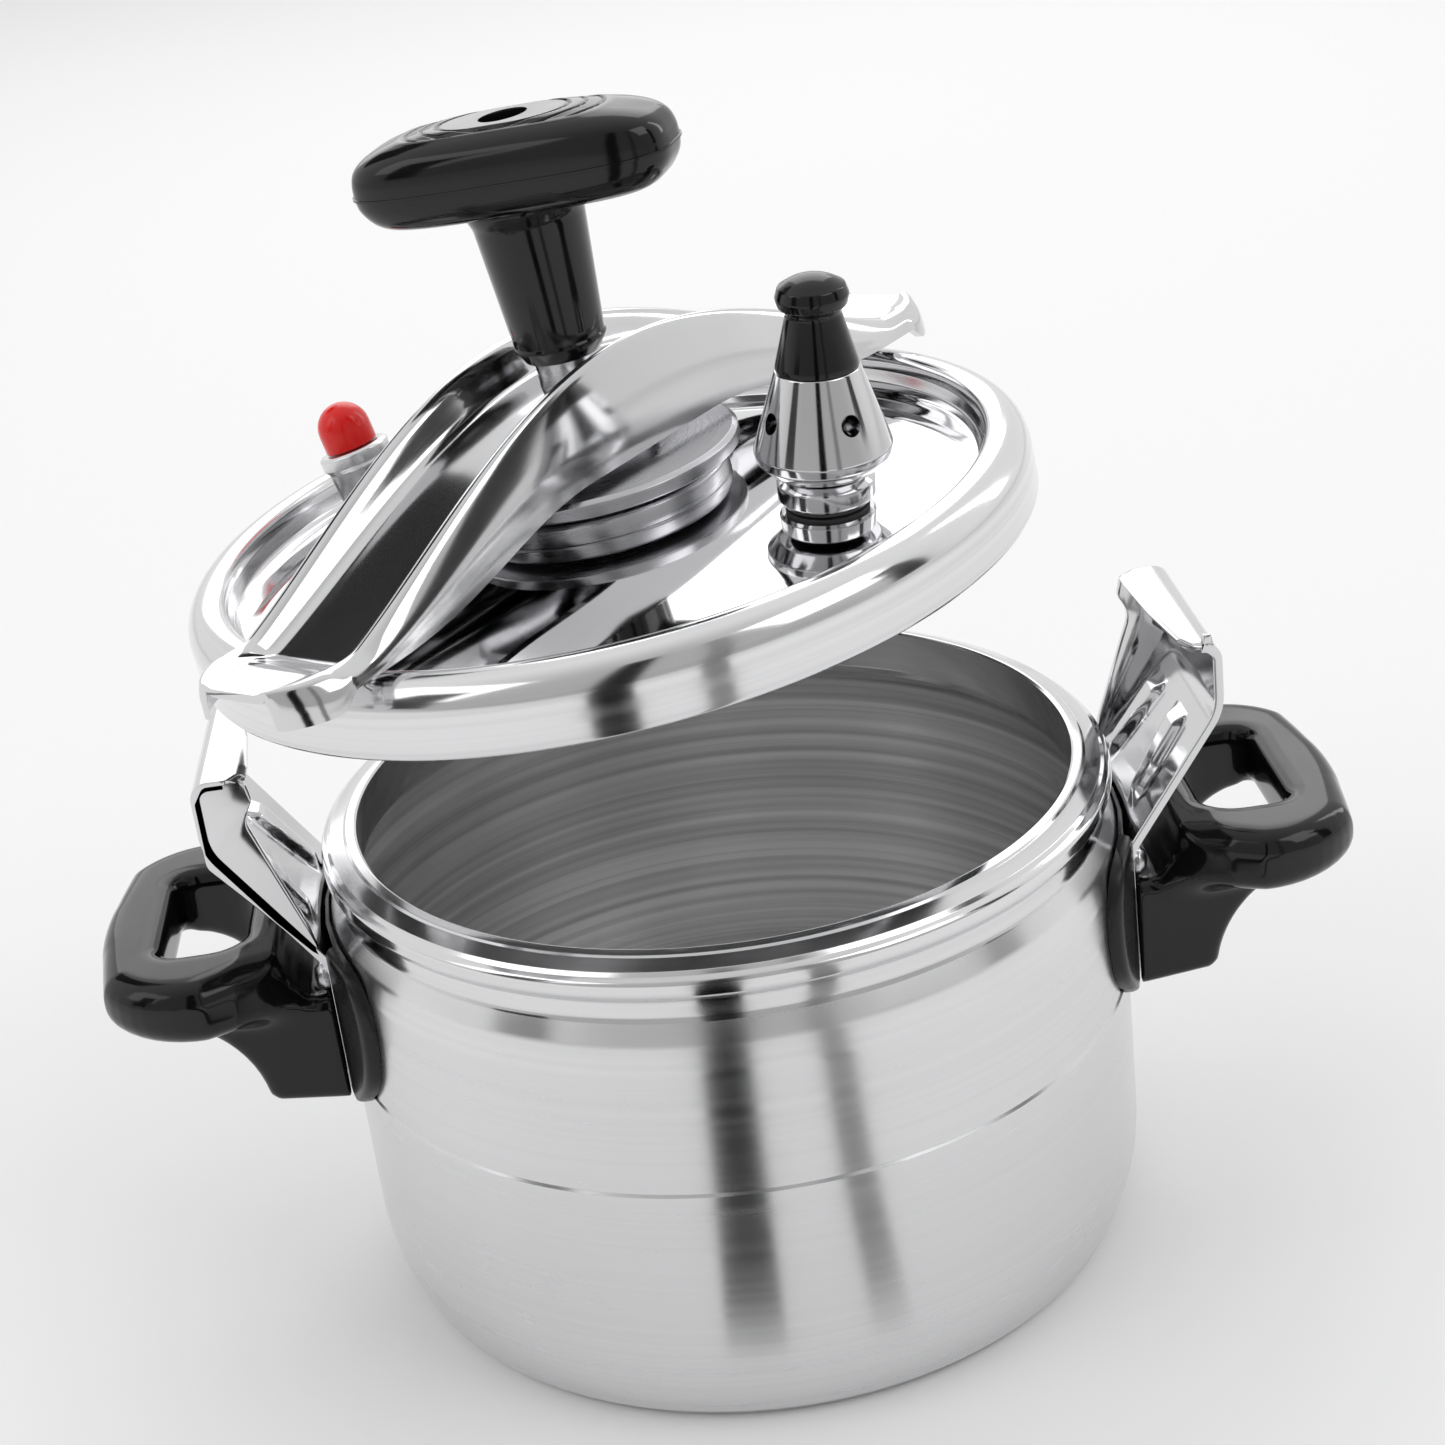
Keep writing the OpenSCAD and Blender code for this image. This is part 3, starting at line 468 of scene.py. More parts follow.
# ------------------------------------------------------------------ geometry node trees
class Tree:
    """A geometry node tree with named inputs, ending in Realize Instances and Set Material."""

    def __init__(self, name: str, inputs: Sequence[tuple[str, str]]) -> None:
        """Starts a tree; inputs are (name, socket type) after the geometry and the material.

        Args:
            name: The tree's name.
            inputs: (name, socket type) of each input after the geometry and the finish.
        """
        self.tree = bpy.data.node_groups.new(name, "GeometryNodeTree")
        face = self.tree.interface
        face.new_socket("Geometry", in_out="INPUT", socket_type="NodeSocketGeometry")
        face.new_socket("Finish", in_out="INPUT", socket_type="NodeSocketMaterial")
        for label, kind in inputs:
            face.new_socket(label, in_out="INPUT", socket_type=kind)
        face.new_socket("Geometry", in_out="OUTPUT", socket_type="NodeSocketGeometry")
        self.start = self.add("NodeGroupInput")

    def add(self, kind: str, links: dict | None = None, **settings: object) -> bpy.types.Node:
        """Adds a node, with its settings, and its inputs linked from sockets or set to values.

        Args:
            kind: Type of the node.
            links: A socket or a value for each input.
            settings: The node's own settings.

        Returns:
            The node.
        """
        node = self.tree.nodes.new(kind)
        for key, value in settings.items():
            setattr(node, key, value)
        for key, value in (links or {}).items():
            if isinstance(value, bpy.types.NodeSocket):
                self.tree.links.new(value, node.inputs[key])
            else:
                node.inputs[key].default_value = value
        return node

    def math(self, operation: str, a: object, b: object = 0.0) -> bpy.types.NodeSocket:
        """The result of a Math node on two sockets or numbers."""
        return self.add("ShaderNodeMath", {0: a, 1: b}, operation=operation).outputs[0]

    def end(self, geometry: bpy.types.NodeSocket) -> "Tree":
        """Closes the tree on a geometry.

        Args:
            geometry: The finished shape.

        Returns:
            The tree itself.
        """
        real = self.add("GeometryNodeRealizeInstances", {0: geometry})
        dressed = self.add("GeometryNodeSetMaterial",
                           {"Geometry": real.outputs[0], "Material": self.start.outputs["Finish"]})
        self.add("NodeGroupOutput", {0: dressed.outputs[0]})
        return self

    def run(self, obj: bpy.types.Object, values: dict[str, object], place: Place,
            crease: float = 34.0) -> bpy.types.Object:
        """Runs the tree on an object and keeps the result as its plain mesh, put in place.

        Args:
            obj: The object, drawn at the origin.
            values: The inputs' values, by name.
            place: Where its mesh goes.
            crease: Edges sharper than this angle stay sharp.

        Returns:
            The same object, now plain.
        """
        modifier = obj.modifiers.new(self.tree.name, "NODES")
        modifier.node_group = self.tree
        for item in self.tree.interface.items_tree:
            if item.in_out == "INPUT" and item.name in values:
                modifier[item.identifier] = values[item.name]
        return bake(obj, place, crease)


def turned_tree() -> Tree:
    """A tree that turns an outline about z: a grid whose rows take the outline's points.

    Returns:
        The tree, with Steps round the axis and Rows along the outline.
    """
    t = Tree("turned", [("Steps", "NodeSocketInt"), ("Rows", "NodeSocketInt")])
    steps, rows = t.start.outputs["Steps"], t.start.outputs["Rows"]
    grid = t.add("GeometryNodeMeshGrid", {"Vertices X": t.math("ADD", steps, 1), "Vertices Y": rows})
    index = t.add("GeometryNodeInputIndex").outputs[0]
    row = t.math("MODULO", index, rows)
    column = t.math("FLOOR", t.math("DIVIDE", index, rows))
    angle = t.math("MULTIPLY", t.math("DIVIDE", column, steps), math.tau)
    position = t.add("GeometryNodeInputPosition").outputs[0]
    sample = t.add("GeometryNodeSampleIndex", {"Geometry": t.start.outputs["Geometry"]},
                   data_type="FLOAT_VECTOR", domain="POINT")
    t.tree.links.new(position, next(s for s in sample.inputs if s.name == "Value" and s.enabled))
    t.tree.links.new(row, sample.inputs["Index"])
    split = t.add("ShaderNodeSeparateXYZ", {0: next(s for s in sample.outputs if s.enabled)})
    radius, height = split.outputs[0], split.outputs[2]
    spun = t.add("ShaderNodeCombineXYZ", {0: t.math("MULTIPLY", radius, t.math("COSINE", angle)),
                                          1: t.math("MULTIPLY", radius, t.math("SINE", angle)), 2: height})
    moved = t.add("GeometryNodeSetPosition", {"Geometry": grid.outputs[0], "Position": spun.outputs[0]})
    merged = t.add("GeometryNodeMergeByDistance", {"Geometry": moved.outputs[0], "Distance": 1e-6})
    return t.end(merged.outputs[0])


def copies(t: Tree, geometry: bpy.types.NodeSocket) -> bpy.types.NodeSocket:
    """Count copies of a geometry, evenly round z from the First angle.

    Args:
        t: A tree with Count and First angle inputs.
        geometry: What to copy.

    Returns:
        The copies as instances.
    """
    once = t.add("GeometryNodeGeometryToInstance", {0: geometry})
    many = t.add("GeometryNodeDuplicateElements",
                 {"Geometry": once.outputs[0], "Amount": t.start.outputs["Count"]}, domain="INSTANCE")
    angle = t.math("ADD", t.start.outputs["First angle"],
                   t.math("DIVIDE", t.math("MULTIPLY", many.outputs[1], math.tau), t.start.outputs["Count"]))
    spin = t.add("ShaderNodeCombineXYZ", {2: angle})
    turned = t.add("GeometryNodeRotateInstances", {"Instances": many.outputs[0], "Rotation": spin.outputs[0],
                                                   "Local Space": False})
    return turned.outputs[0]


def round_tree() -> Tree:
    """A tree that repeats a piece evenly round z: rivets and screws."""
    t = Tree("round_the_axis", [("Count", "NodeSocketInt"), ("First angle", "NodeSocketFloat")])
    return t.end(copies(t, t.start.outputs["Geometry"]))


def steam_hole_tree() -> Tree:
    """A tree that bores a ring of holes through a turned piece.

    Returns:
        The tree, with the holes' number, place and size as inputs.
    """
    t = Tree("steam_holes", [("Count", "NodeSocketInt"), ("First angle", "NodeSocketFloat"),
                             ("Hole radius", "NodeSocketFloat"), ("Height", "NodeSocketFloat"),
                             ("Reach", "NodeSocketFloat")])
    drill = t.add("GeometryNodeMeshCylinder", {"Vertices": 40, "Radius": t.start.outputs["Hole radius"],
                                               "Depth": t.start.outputs["Reach"]})
    out = t.add("ShaderNodeCombineXYZ", {0: t.math("MULTIPLY", t.start.outputs["Reach"], 0.7),
                                         2: t.start.outputs["Height"]})
    laid = t.add("GeometryNodeTransform", {"Geometry": drill.outputs[0], "Translation": out.outputs[0],
                                           "Rotation": (0.0, math.pi / 2, 0.0)})
    ring = t.add("GeometryNodeRealizeInstances", {0: copies(t, laid.outputs[0])})
    cut = t.add("GeometryNodeMeshBoolean", operation="DIFFERENCE")
    t.tree.links.new(t.start.outputs["Geometry"], cut.inputs["Mesh 1"])
    t.tree.links.new(ring.outputs[0], cut.inputs["Mesh 2"])
    return t.end(cut.outputs[0])


def spring_tree() -> Tree:
    """A tree that winds a wire spring up z.

    Returns:
        The tree, with the turns and radii as inputs.
    """
    t = Tree("spring", [("Turns", "NodeSocketFloat"), ("Coil radius", "NodeSocketFloat"),
                        ("Wire radius", "NodeSocketFloat"), ("Rise", "NodeSocketFloat")])
    coil = t.add("GeometryNodeCurveSpiral", {"Resolution": 24, "Rotations": t.start.outputs["Turns"],
                                             "Start Radius": t.start.outputs["Coil radius"],
                                             "End Radius": t.start.outputs["Coil radius"],
                                             "Height": t.start.outputs["Rise"]})
    wire = t.add("GeometryNodeCurvePrimitiveCircle",
                 {"Resolution": 8, "Radius": t.start.outputs["Wire radius"]})
    tube = t.add("GeometryNodeCurveToMesh", {"Curve": coil.outputs[0], "Profile Curve": wire.outputs[0],
                                             "Fill Caps": True})
    return t.end(tube.outputs[0])


TURNED, ROUND, STEAM_HOLES, SPRING = turned_tree(), round_tree(), steam_hole_tree(), spring_tree()


def spun(name: str, outline: Outline, material: bpy.types.Material, place: Place = ROW, steps: int = 144,
         crease: float = 34.0, closed: bool = True) -> bpy.types.Object:
    """A turned piece.

    Args:
        name: The piece's name.
        outline: (radius, height) points in millimetres, round the section.
        material: Its finish.
        place: Its frame, z along the axis.
        steps: Pieces round the axis.
        crease: Edges sharper than this angle stay sharp.
        closed: Joins the last point to the first one; off where both ends are on the axis.

    Returns:
        The piece.
    """
    line = [tuple(p[:2]) for p in outline] + ([tuple(outline[0][:2])] if closed else [])
    mesh = bpy.data.meshes.new(name)
    mesh.from_pydata([(r * MM, 0.0, z * MM) for r, z in line], [(i, i + 1) for i in range(len(line) - 1)], [])
    obj = bpy.data.objects.new(name, mesh)
    bpy.context.scene.collection.objects.link(obj)
    return TURNED.run(obj, {"Finish": material, "Steps": steps, "Rows": len(line)}, place, crease)


# ------------------------------------------------------------------ finishes
class Lines(Enum):
    """The lay of the fine lines that working leaves in a metal."""

    NONE = "none"
    TURNED = "turned"
    BRUSHED = "brushed"


class Shader:
    """A material under construction, on a piece's own local coordinates."""

    def __init__(self, name: str, place: Place) -> None:
        """Starts a material whose patterns are centred and turned to a place.

        Args:
            name: The material's name.
            place: The frame that centres and turns its patterns.
        """
        self.material = bpy.data.materials.new(name)
        self.material.use_nodes = True
        self.tree = self.material.node_tree
        self.shader = self.tree.nodes["Principled BSDF"]
        coordinates = self.add("ShaderNodeTexCoord").outputs["Object"]
        turn = Matrix(place.axes)
        shift = turn @ (Vector(place.origin) * -MM)
        self.local = self.add("ShaderNodeMapping", {"Vector": coordinates, "Location": tuple(shift),
                                                    "Rotation": tuple(turn.to_euler())}).outputs[0]

    def add(self, kind: str, links: dict | None = None, **settings: object) -> bpy.types.Node:
        """Adds a node, with its settings, and its inputs linked from sockets or set to values.

        Args:
            kind: Type of the node.
            links: A socket or a value for each input.
            settings: The node's own settings.

        Returns:
            The node.
        """
        node = self.tree.nodes.new(kind)
        for key, value in settings.items():
            setattr(node, key, value)
        for key, value in (links or {}).items():
            if isinstance(value, bpy.types.NodeSocket):
                self.tree.links.new(value, node.inputs[key])
            else:
                node.inputs[key].default_value = value
        return node

    def set(self, values: dict[str, object]) -> None:
        """Sets or links the surface shader's own inputs.

        Args:
            values: A socket or a value for each input, by name.
        """
        for key, value in values.items():
            if isinstance(value, bpy.types.NodeSocket):
                self.tree.links.new(value, self.shader.inputs[key])
            else:
                self.shader.inputs[key].default_value = value

    def noise(self, scale: float, detail: float = 2.0, vector: bpy.types.NodeSocket | None = None,
              stretch: tuple[float, float, float] | None = None) -> bpy.types.NodeSocket:
        """A noise pattern, on local coordinates unless a vector is given.

        Args:
            scale: Cells in a metre.
            detail: Finer layers of noise.
            vector: Coordinates in place of the local ones.
            stretch: Scales of the three axes.

        Returns:
            The noise's value.
        """
        source = vector or self.local
        if stretch:
            source = self.add("ShaderNodeMapping", {"Vector": source, "Scale": stretch}).outputs[0]
        return self.add("ShaderNodeTexNoise", {"Vector": source, "Scale": scale, "Detail": detail}).outputs[0]

    def ranged(self, value: bpy.types.NodeSocket, low: float, high: float, start: float = 0.3,
               stop: float = 0.7) -> bpy.types.NodeSocket:
        """A pattern spread from low to high.

        Args:
            value: The pattern.
            low: Result at start.
            high: Result at stop.
            start: Pattern value that gives low.
            stop: Pattern value that gives high.

        Returns:
            The spread pattern.
        """
        return self.add("ShaderNodeMapRange", {0: value, 1: start, 2: stop, 3: low, 4: high}).outputs[0]

    def turned_vector(self, across: float, along: float) -> bpy.types.NodeSocket:
        """Coordinates that change fast across a turned piece's rings and slowly along them.

        Args:
            across: Scale across the rings.
            along: Scale along the rings.

        Returns:
            The coordinates.
        """
        split = self.add("ShaderNodeSeparateXYZ", {0: self.local})
        x, y, z = split.outputs
        flat = self.add("ShaderNodeCombineXYZ", {0: x, 1: y})
        radius = self.add("ShaderNodeVectorMath", {0: flat.outputs[0]}, operation="LENGTH").outputs["Value"]
        level = self.add("ShaderNodeMath", {0: radius, 1: z}, operation="ADD").outputs[0]
        parts = [self.add("ShaderNodeMath", {0: v, 1: s}, operation="MULTIPLY").outputs[0]
                 for v, s in ((x, along), (y, along), (level, across))]
        return self.add("ShaderNodeCombineXYZ", {0: parts[0], 1: parts[1], 2: parts[2]}).outputs[0]

    def bump(self, height: bpy.types.NodeSocket, depth: float, below: bpy.types.NodeSocket | None = None,
             strength: float = 1.0) -> bpy.types.NodeSocket:
        """A bump of a height pattern; depth is in millimetres.

        Args:
            height: The pattern.
            depth: Its depth.
            below: A bump under this one.
            strength: How much of it shows.

        Returns:
            The bent normal.
        """
        links: dict = {"Height": height, "Distance": depth * MM, "Strength": strength}
        if below:
            links["Normal"] = below
        return self.add("ShaderNodeBump", links).outputs[0]

    def tinted(self, pattern: bpy.types.NodeSocket, dark: Sequence[float],
               light: Sequence[float]) -> bpy.types.NodeSocket:
        """A colour between two tints, by a pattern.

        Args:
            pattern: The pattern, 0 to 1.
            dark: Tint at 0.
            light: Tint at 1.

        Returns:
            The colour.
        """
        mix = self.add("ShaderNodeMix", data_type="RGBA")
        self.tree.links.new(pattern, mix.inputs["Factor"])
        mix.inputs[6].default_value = (*dark, 1.0)
        mix.inputs[7].default_value = (*light, 1.0)
        return mix.outputs[2]


@dataclass(frozen=True)
class Metal:
    """A worked metal: its tint, gloss, and the lines left by turning or brushing."""

    name: str
    tint: tuple[float, float, float]
    roughness: float
    uneven: float = 0.03
    lines: Lines = Lines.NONE
    line_depth: float = 0.0
    line_pitch: float = 0.7
    waviness: float = 0.0
    wave_scale: float = 30.0
    anisotropy: float = 0.0
    ring_shade: float = 0.1

    def material(self, place: Place = ROW) -> bpy.types.Material:
        """The finish as a material whose lines go round a place's axis.

        Args:
            place: The frame whose z axis the lines go round.

        Returns:
            The material.
        """
        s = Shader(self.name, place)
        cloud = s.noise(18.0, 3.0)
        light = self.tint
        dark = tuple(c * 0.9 for c in self.tint)
        s.set({"Metallic": 1.0, "Base Color": s.tinted(s.ranged(cloud, 0.0, 1.0), dark, light)})
        smear = s.noise(60.0, 4.0)
        normal = None
        rough = s.ranged(smear, self.roughness - self.uneven / 2, self.roughness + self.uneven / 2)
        if self.waviness:
            normal = s.bump(s.noise(self.wave_scale, 1.0), self.waviness)
        if self.lines is not Lines.NONE:
            rate = 1000.0 / self.line_pitch
            if self.lines is Lines.TURNED:
                vector = s.turned_vector(rate, 4.0)
            else:
                stretch = (14.0, rate, rate)
                vector = s.add("ShaderNodeMapping", {"Vector": s.local, "Scale": stretch}).outputs[0]
            fine = s.noise(1.0, 3.0, vector)
            normal = s.bump(fine, self.line_depth, normal)
            coarse = s.noise(0.22, 2.0, vector)
            rough = s.add("ShaderNodeMath", {0: rough, 1: s.ranged(coarse, -self.uneven, self.uneven)},
                          operation="ADD").outputs[0]
            rings = s.noise(0.6, 4.0, vector)
            dull = tuple(c * (1 - self.ring_shade) for c in self.tint)
            s.set({"Base Color": s.tinted(s.ranged(rings, 0.0, 1.0, 0.35, 0.6), dull, self.tint)})
        s.set({"Roughness": rough})
        if self.anisotropy:
            tangent = s.add("ShaderNodeTangent", direction_type="RADIAL", axis="Z").outputs[0]
            s.set({"Anisotropic": self.anisotropy, "Anisotropic Rotation": 0.25, "Tangent": tangent})
        if normal:
            s.set({"Normal": normal})
        return s.material


@dataclass(frozen=True)
class Moulded:
    """A moulded plastic or rubber: its tints, gloss, and the fine unevenness of its skin."""

    name: str
    dark: tuple[float, float, float]
    light: tuple[float, float, float]
    roughness: float
    grain: float
    grain_scale: float
    coat: float = 0.0
    ripple: float = 0.0
    sheen: float = 0.0
    shine: float = 0.5

    def material(self, place: Place = ROW) -> bpy.types.Material:
        """The finish as a material.

        Args:
            place: The frame of its patterns.

        Returns:
            The material.
        """
        s = Shader(self.name, place)
        s.set({"Base Color": s.tinted(s.ranged(s.noise(40.0, 4.0), 0.0, 1.0), self.dark, self.light),
               "Specular IOR Level": self.shine,
               "Roughness": s.ranged(s.noise(90.0, 5.0), self.roughness * 0.75, self.roughness * 1.3),
               "Coat Weight": self.coat, "Coat Roughness": 0.06, "Sheen Weight": self.sheen})
        ripple = s.bump(s.noise(45.0, 1.0), self.ripple) if self.ripple else None
        s.set({"Normal": s.bump(s.noise(self.grain_scale, 2.0), self.grain, ripple)})
        return s.material


WALL_FINISH = Metal("satin_aluminium_wall", (0.76, 0.76, 0.77), 0.25, 0.03, Lines.TURNED, 0.0012, 0.7,
                    anisotropy=0.8, ring_shade=0.03)
# The inside's lighter tint (0.92 against the wall's 0.76) is painted light: it stands in for the light that enters
# the pot; its darker rings are the turning lines' own tone.
INSIDE_FINISH_PAINTED_LIGHT = Metal("ringed_aluminium_inside_painted_light", (0.92, 0.92, 0.92), 0.38, 0.10, Lines.TURNED, 0.010, 1.6,
                      anisotropy=0.6, ring_shade=0.35)
LIP_FINISH = Metal("turned_aluminium_lip", (0.76, 0.76, 0.77), 0.12, 0.05, Lines.TURNED, 0.004, 1.1)
LID_FINISH = Metal("polished_aluminium_lid", (0.79, 0.79, 0.80), 0.045, 0.02, waviness=0.02)
RIM_FINISH = Metal("polished_aluminium_rim", (0.77, 0.77, 0.78), 0.13, 0.04, Lines.TURNED, 0.0012, 0.9)
STEEL_FINISH = Metal("polished_steel", (0.72, 0.72, 0.73), 0.11, 0.03, waviness=0.02, wave_scale=16.0)
DISC_FINISH = Metal("brushed_steel_disc", (0.60, 0.60, 0.62), 0.28, 0.05, Lines.TURNED, 0.0015, 0.5)
EDGE_FINISH = Metal("machined_steel", (0.62, 0.62, 0.64), 0.24, 0.08, Lines.TURNED, 0.004, 0.6)
CAST_FINISH = Metal("satin_cast_metal", (0.78, 0.78, 0.79), 0.25, 0.10, waviness=0.06, wave_scale=260.0)
BAKELITE = Moulded("black_bakelite", (0.003, 0.003, 0.0033), (0.006, 0.006, 0.0065), 0.12, 0.002, 900.0,
                   coat=0.10, ripple=0.02, shine=0.36)
BACKING = Moulded("black_backing", (0.006, 0.006, 0.006), (0.012, 0.012, 0.012), 0.30, 0.012, 700.0,
                  shine=0.3)
RUBBER = Moulded("grey_rubber", (0.05, 0.05, 0.05), (0.09, 0.09, 0.09), 0.6, 0.02, 500.0, sheen=0.1)
RED_SILICONE = Moulded("red_silicone", (0.72, 0.006, 0.004), (0.86, 0.012, 0.008), 0.22, 0.003, 700.0,
                       coat=0.15, shine=0.35)


def keep(obj: bpy.types.Object, body: str, slot: str, *nodes: str,
         material: bpy.types.Material | None = None) -> bpy.types.Object:
    """Rides a finished piece on its body and hides the CAD nodes it stands for.

    Args:
        obj: The piece.
        body: The body it moves with.
        slot: The record's material slot; not used.
        nodes: The CAD nodes it stands for.
        material: Its finish, where its mesh has none yet.

    Returns:
        The same piece.
    """
    if material:
        obj.data.materials.clear()
        obj.data.materials.append(material)
    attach(obj, body)
    if nodes:
        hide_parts(*nodes)
    LOG.info("%s rides on %s, %d faces", obj.name, body, len(obj.data.polygons))
    return obj


def split_materials(obj: bpy.types.Object, materials: Sequence[bpy.types.Material],
                    choose: Callable[[Vector], int], place: Place = ROW) -> None:
    """Gives each face one of several materials, by its middle in local millimetres.

    Args:
        obj: The piece.
        materials: Its finishes.
        choose: Gives a finish's number for a place.
        place: The frame of those places.
    """
    obj.data.materials.clear()
    for m in materials:
        obj.data.materials.append(m)
    back = place.matrix().inverted()
    for polygon in obj.data.polygons:
        polygon.material_index = choose((back @ polygon.center) / MM)


# ------------------------------------------------------------------ pot
@dataclass
class Pot:
    """The turned pot: a tapered foot, a seam half way, a shoulder, a neck and a rolled lip."""

    wall_r: float = 98.0
    seam_r: float = 98.5
    inner_r: float = 95.4
    floor: float = 4.0
    foot_r: float = 93.5
    foot_low: float = 4.2
    foot_h: float = 22.0
    seam_z: float = 67.0
    neck_low: float = 108.5
    mouth_r: float = 87.8
    mouth_z: float = 124.7

    def outline(self) -> list[tuple[float, float]]:
        """The section: outside from the axis up, then inside down to the axis.

        Returns:
            (radius, height) points.
        """
        swell = self.seam_r - 0.1 - self.foot_r
        foot = [(self.foot_r + swell * (1 - (1 - t) ** 2.3), self.foot_low + self.foot_h * t)
                for t in np.linspace(0, 1, 14)]
        base = [(0, 0), (88.5, 0), (90.6, 0.5, 0.6), (91.4, 2.6, 0.7), (93.2, 3.1, 0.6)]
        seam = [(self.seam_r, self.seam_z - 1.2, 3), (self.seam_r, self.seam_z - 0.2, 0.25),
                (self.wall_r, self.seam_z + 0.5, 0.4)]
        shoulder = [(self.wall_r, 98.0, 8), (97.2, 105.0, 6), (94.4, 110.6, 6), (93.9, 115.2, 1.5)]
        top = self.mouth_z
        lip = [(96.0, top - 9.1, 1.2), (97.1, top - 7.1, 1.6), (96.9, top - 4.1, 1.6), (95.4, top - 3.1, 0.8),
               (94.6, top - 2.2, 0.5), (91.0, top - 0.9, 0.6), (90.4, top - 0.4, 0.4), (88.5, top, 0.5),
               (self.mouth_r, top - 0.5, 0.4)]
        outside = rounded([*base, *foot, *seam, *shoulder, *lip])
        inside = rounded([
            (self.mouth_r, top - 0.7), (self.mouth_r, 113.2, 2), (88.6, 111.0, 2), (93.0, 106.5, 4),
            (self.inner_r - 0.05, 100.0, 5), (self.inner_r, 16.0, 12), (84.0, self.floor, 10),
            (0, self.floor)])
        return outside + inside

    def build(self) -> bpy.types.Object:
        """Builds and dresses the pot.

        Returns:
            The pot.
        """
        finishes = [f.material() for f in (WALL_FINISH, LIP_FINISH, INSIDE_FINISH_PAINTED_LIGHT)]
        pot = spun("pot_shell", self.outline(), finishes[0], steps=256, crease=40.0, closed=False)
        split_materials(pot, finishes, self.finish_at)
        return keep(pot, "pot", "satin_aluminium", "pot_body")

    def finish_at(self, p: Vector) -> int:
        """Which finish a face takes: 0 for the wall, 1 for the neck and lip, 2 for the inside.

        Args:
            p: The face's middle.

        Returns:
            The number of the finish.
        """
        radius = math.hypot(p.x, p.y)
        if p.z > self.neck_low and radius > self.mouth_r - 0.3 or p.z > self.neck_low + 5:
            return 1
        reach = self.foot_r - 0.5 if p.z < self.foot_low + self.foot_h - 0.2 else self.inner_r + 0.2
        return 2 if p.z > self.floor - 0.5 and radius < reach else 0


